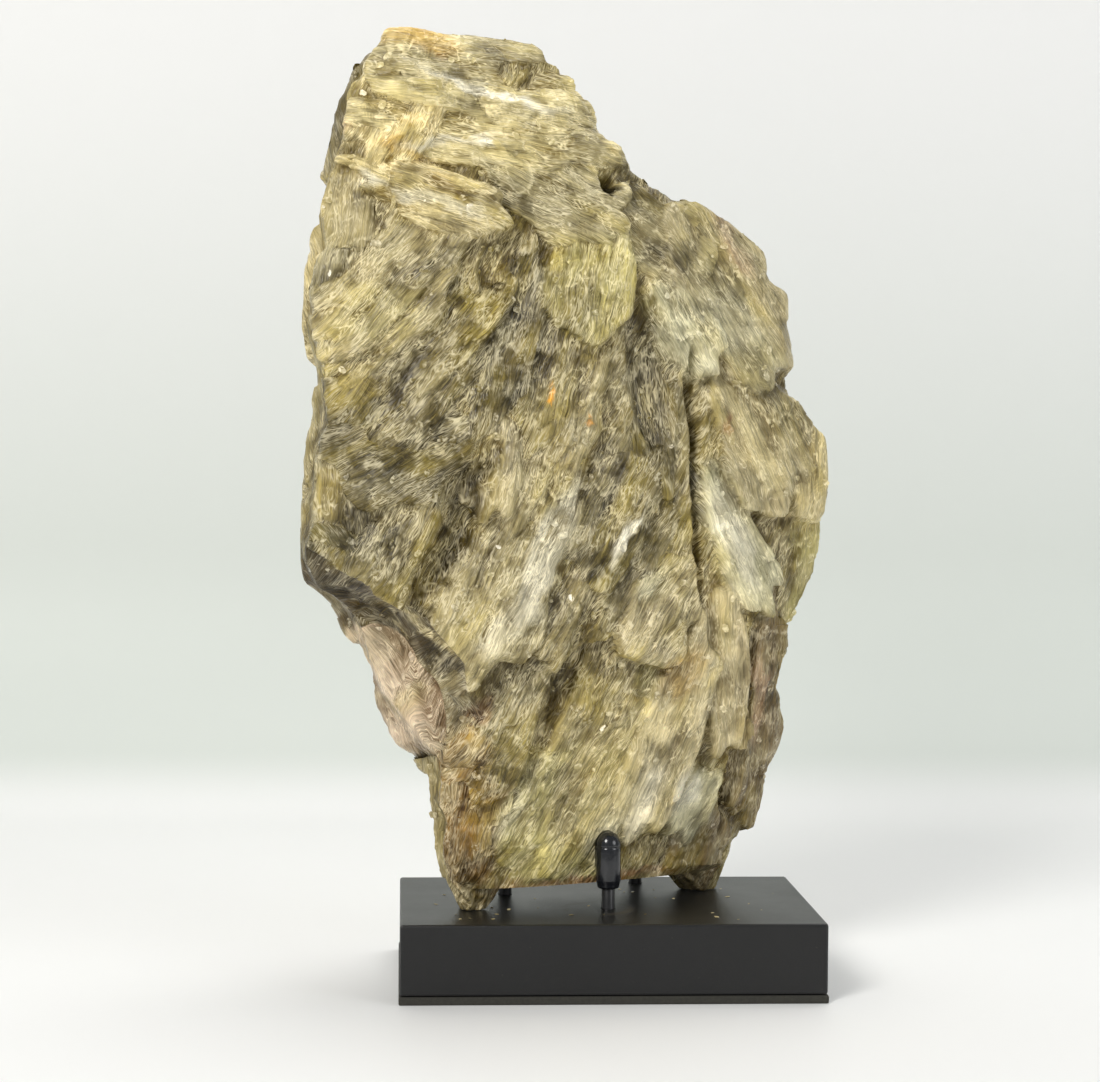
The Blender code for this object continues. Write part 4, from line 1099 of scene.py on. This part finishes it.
def satinPaint():
    paint = Finish("satin_black_paint", Roughness=0.36, Specular_IOR_Level=0.45)
    place = paint.place()
    stipple = paint.grainNoise(place, 1300.0, 2.0, 0.6)
    broad = paint.grainNoise(place, 22.0, 4.0, 0.6)
    specks = paint.grainNoise(place, 520.0, 3.0, 0.7).between(0.68, 0.74)
    scuffs = paint.grainNoise(paint.stretched(place, (60.0, 60.0, 150.0), (2, 0, 1)), 1.0, 4.0, 0.7).between(0.66, 0.76)
    # a ring of dust lies round the front rod
    x, y, z = paint.parts(place)
    x, y = x / mm - stand["ringCentre"][0], y / mm - stand["ringCentre"][1]
    radius = (x * x + y * y) ** 0.5
    inner, full, fading, outer = stand["ring"]
    ring = radius.between(inner, full) * (1 - radius.between(fading, outer)) * z.between(0.0279, 0.0283)
    dust = ring * broad.between(0.40, 0.56) * 0.55 + specks * (0.12 + broad.between(0.5, 0.6) * 0.2)
    colour = paint.mix(broad, *(tone(*shade) for shade in stand["paint"]))
    colour = paint.mix(scuffs * 0.35, colour, tone(*stand["scuff"]))
    colour = paint.mix(dust, colour, tone(*stand["dust"]))
    paint.drive(Base_Color=colour, Roughness=0.28 + broad * 0.18 + dust * 0.4,
                Normal=paint.bump(stipple, 0.00008, 0.9))
    return paint.material


def footPad():
    foam = Finish("dark_foam_pad", Roughness=0.9)
    grains = foam.grainNoise(foam.place(), 900.0, 3.0, 0.7)
    foam.drive(Base_Color=foam.mix(grains, *(tone(*shade) for shade in stand["foam"])),
               Normal=foam.bump(grains, 0.00015, 0.8))
    return foam.material


def rodEnamel():
    enamel = Finish("black_rod_enamel", Roughness=0.3)
    wear = enamel.grainNoise(enamel.place(), 400.0, 3.0, 0.6)
    enamel.drive(Base_Color=enamel.mix(wear, *(tone(*shade) for shade in stand["enamel"])),
                 Roughness=0.22 + wear * 0.2)
    return enamel.material


def sleeveRubber():
    rubber = Finish("dipped_rubber", Roughness=0.14, Coat_Weight=0.3, Coat_Roughness=0.08)
    waves = rubber.grainNoise(rubber.place(), 160.0, 2.0, 0.5)
    rubber.drive(Base_Color=rubber.mix(waves, *(tone(*shade) for shade in stand["rubber"])),
                 Roughness=0.10 + waves * 0.14, Normal=rubber.bump(waves, 0.0004, 0.5))
    return rubber.material


def sleeveProfile(radius, mouth, tip):
    # a dipped sleeve: its bore, a rolled mouth, a flare, a faint ring near the tip and a dome
    bore, roll, neck = rubberTip["bore"], rubberTip["mouthRound"], radius - rubberTip["neck"]
    profile = [(0, tip - radius + 0.02), (bore, tip - radius + 0.02), (bore, mouth)]
    for k in range(7):
        turn = math.pi / 2 * k / 6
        profile.append((neck - roll + roll * math.sin(turn), mouth + roll - roll * math.cos(turn)))
    for k in range(1, 7):
        t = k / 6
        profile.append((neck + (radius - neck) * t * t * (3 - 2 * t), mouth + roll + (rubberTip["flare"] - roll) * t))
    ring = tip - rubberTip["ringBelowTip"]
    for k in range(-3, 4):
        profile.append((radius - rubberTip["ringDepth"] * (1 + math.cos(math.pi * k / 3)) / 2, ring - 0.4 + k * 0.22))
    return profile + domed(radius, tip)


def makeRods():
    enamel, rubber = rodEnamel(), sleeveRubber()
    for name in [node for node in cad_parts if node.endswith("_sleeve")]:
        centre, radius, mouth, tip = sleeveAt(name)
        sleeve = turned(name + "_smooth", centre, sleeveProfile(radius, mouth, tip))
        rodName = name.replace("_sleeve", "_rod")
        low, high = (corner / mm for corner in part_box(rodName))
        wide, chamfer = (high.x - low.x) / 2, 0.5
        profile = [(0, low.z), (wide, low.z), (wide, high.z - chamfer), (wide - chamfer, high.z), (0, high.z)]
        rod = turned(rodName + "_smooth", centre, profile, 48)
        for piece, material, slot, node in ((sleeve, rubber, "sleeve_rubber", name), (rod, enamel, "rod_enamel", rodName)):
            piece.data.shade_smooth()
            piece.data.set_sharp_from_angle(angle=math.radians(50))
            dress(piece, material, slot, node)


def finishStand():
    finishes = {"base_block": satinPaint(), "base_pad": footPad()}
    for name, material in finishes.items():
        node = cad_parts[name]
        node.data.materials.clear()
        node.data.materials.append(material)


finishStand()
makeRods()
print("stand finished")


# --- loose flakes on the specimen and crumbs on the block ---

flakeSets = {
    "flakes": {"density": 8000.0, "smallest": 0.25, "largest": 1.0, "tilt": 0.14, "seed": 3, "sides": 9,
               "size": (2.2, 1.4, 0.09)},
    "crumbs": {"density": 3600.0, "smallest": 0.35, "largest": 1.3, "tilt": 0.25, "seed": 8, "sides": 6,
               "size": (0.8, 0.6, 0.16)},
}


def flakePiece(settings):  # a thin plate with an uneven outline and a chipped edge, in mm
    rng = random.Random(settings["seed"])
    length, width, thick = settings["size"]
    sides = settings["sides"]
    bm = bmesh.new()
    rings = []
    for share, height in ((0.86, 0.0), (1.0, 0.5), (0.9, 1.0)):
        ring = []
        for i in range(sides):
            turn = 2 * math.pi * i / sides
            reach = share * (0.85 + 0.3 * rng.random())
            ring.append(bm.verts.new((length * reach * math.cos(turn) * mm, width * reach * math.sin(turn) * mm,
                                      thick * height * mm)))
        rings.append(ring)
    for lower, upper in zip(rings, rings[1:]):
        for i in range(sides):
            j = (i + 1) % sides
            bm.faces.new((lower[i], lower[j], upper[j], upper[i]))
    bm.faces.new(rings[0][::-1])
    bm.faces.new(rings[-1])
    return meshPiece("flake", bm)


def scatterTree(name, flake, material):
    tree = bpy.data.node_groups.new(name, "GeometryNodeTree")
    tree.interface.new_socket("Geometry", in_out="OUTPUT", socket_type="NodeSocketGeometry")
    tree.interface.new_socket("Geometry", in_out="INPUT", socket_type="NodeSocketGeometry")
    for label, kind in (("Density", "NodeSocketFloat"), ("Smallest", "NodeSocketFloat"),
                        ("Largest", "NodeSocketFloat"), ("Tilt", "NodeSocketFloat"), ("Seed", "NodeSocketInt")):
        tree.interface.new_socket(label, in_out="INPUT", socket_type=kind)

    def add(kind, **settings):
        made = tree.nodes.new(kind)
        for key, value in settings.items():
            setattr(made, key, value)
        return made

    def join(source, output, target, socket):
        tree.links.new(source.outputs[output], target.inputs[socket])

    given, result = add("NodeGroupInput"), add("NodeGroupOutput")
    spread = add("GeometryNodeDistributePointsOnFaces")
    shape = add("GeometryNodeObjectInfo")
    shape.inputs["Object"].default_value = flake
    chosen = add("FunctionNodeRandomValue", data_type="FLOAT")
    turns = add("FunctionNodeRandomValue", data_type="FLOAT_VECTOR")
    lowest, highest = add("ShaderNodeCombineXYZ"), add("ShaderNodeCombineXYZ")
    negative = add("ShaderNodeMath", operation="MULTIPLY")
    negative.inputs[1].default_value = -1.0
    lowest.inputs["Z"].default_value, highest.inputs["Z"].default_value = 0.0, 2 * math.pi
    turned = add("FunctionNodeRotateRotation", rotation_space="LOCAL")
    place = add("GeometryNodeInstanceOnPoints")
    real, paint = add("GeometryNodeRealizeInstances"), add("GeometryNodeSetMaterial")
    paint.inputs["Material"].default_value = material
    join(given, "Geometry", spread, "Mesh")
    join(given, "Density", spread, "Density")
    join(given, "Seed", spread, "Seed")
    join(given, "Smallest", chosen, 2)
    join(given, "Largest", chosen, 3)
    join(given, "Seed", chosen, "Seed")
    join(given, "Tilt", negative, 0)
    for axis in ("X", "Y"):
        join(negative, 0, lowest, axis)
        join(given, "Tilt", highest, axis)
    join(lowest, 0, turns, 0)
    join(highest, 0, turns, 1)
    join(given, "Seed", turns, "Seed")
    join(spread, "Rotation", turned, 0)
    join(turns, 0, turned, 1)
    join(spread, "Points", place, "Points")
    join(shape, "Geometry", place, "Instance")
    join(turned, 0, place, "Rotation")
    join(chosen, 1, place, "Scale")
    join(place, 0, real, 0)
    join(real, 0, paint, 0)
    join(paint, 0, result, 0)
    return tree


def scatter(name, surface, material):
    settings = flakeSets[name]
    flake = flakePiece(settings)
    tree = scatterTree(name, flake, material)
    holder = bpy.data.objects.new("mica_" + name, surface)
    bpy.context.scene.collection.objects.link(holder)
    modifier = holder.modifiers.new(name, "NODES")
    modifier.node_group = tree
    for item in tree.interface.items_tree:
        if item.in_out == "INPUT" and item.name.lower() in settings:
            modifier[item.identifier] = settings[item.name.lower()]
    settle(holder)
    bpy.data.objects.remove(flake, do_unlink=True)
    print(holder.name, len(holder.data.polygons), "faces")
    return holder


def looseFinish(name, colour=None):
    scale = Finish(name, Roughness=0.25, Specular_IOR_Level=0.6)
    colour = scale.attribute("tint", "Color") if colour is None else colour
    fine = scale.grainNoise(scale.place(), 700.0, 3)
    # painted sheen: fine flecks are blended towards a near-white highlight colour
    pale = scale.mix(0.5, scale.mix(1.0, colour, (1.7, 1.7, 1.7, 1.0), "MULTIPLY"), tone(*tints["highlightWhite"]))
    scale.drive(Base_Color=scale.mix(fine.between(0.40, 0.70), colour, pale))
    return scale.material


def crumbField():  # the part of the block's top that chips have fallen on
    bm = bmesh.new()
    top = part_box("base_block")[1].z
    corners = [(-66, -42), (68, -42), (68, 30), (-66, 30)]
    bm.faces.new([bm.verts.new((x * mm, y * mm, top)) for x, y in corners])
    mesh = bpy.data.meshes.new("crumb_field")
    bm.to_mesh(mesh)
    bm.free()
    return mesh


for name, surface, material in (("flakes", specimen.data, looseFinish("mica_scales")),
                                ("crumbs", crumbField(), looseFinish("mica_crumbs", tone(*palette["cream"])))):
    dress(scatter(name, surface, material), material, "mica")
print("loose flakes laid")
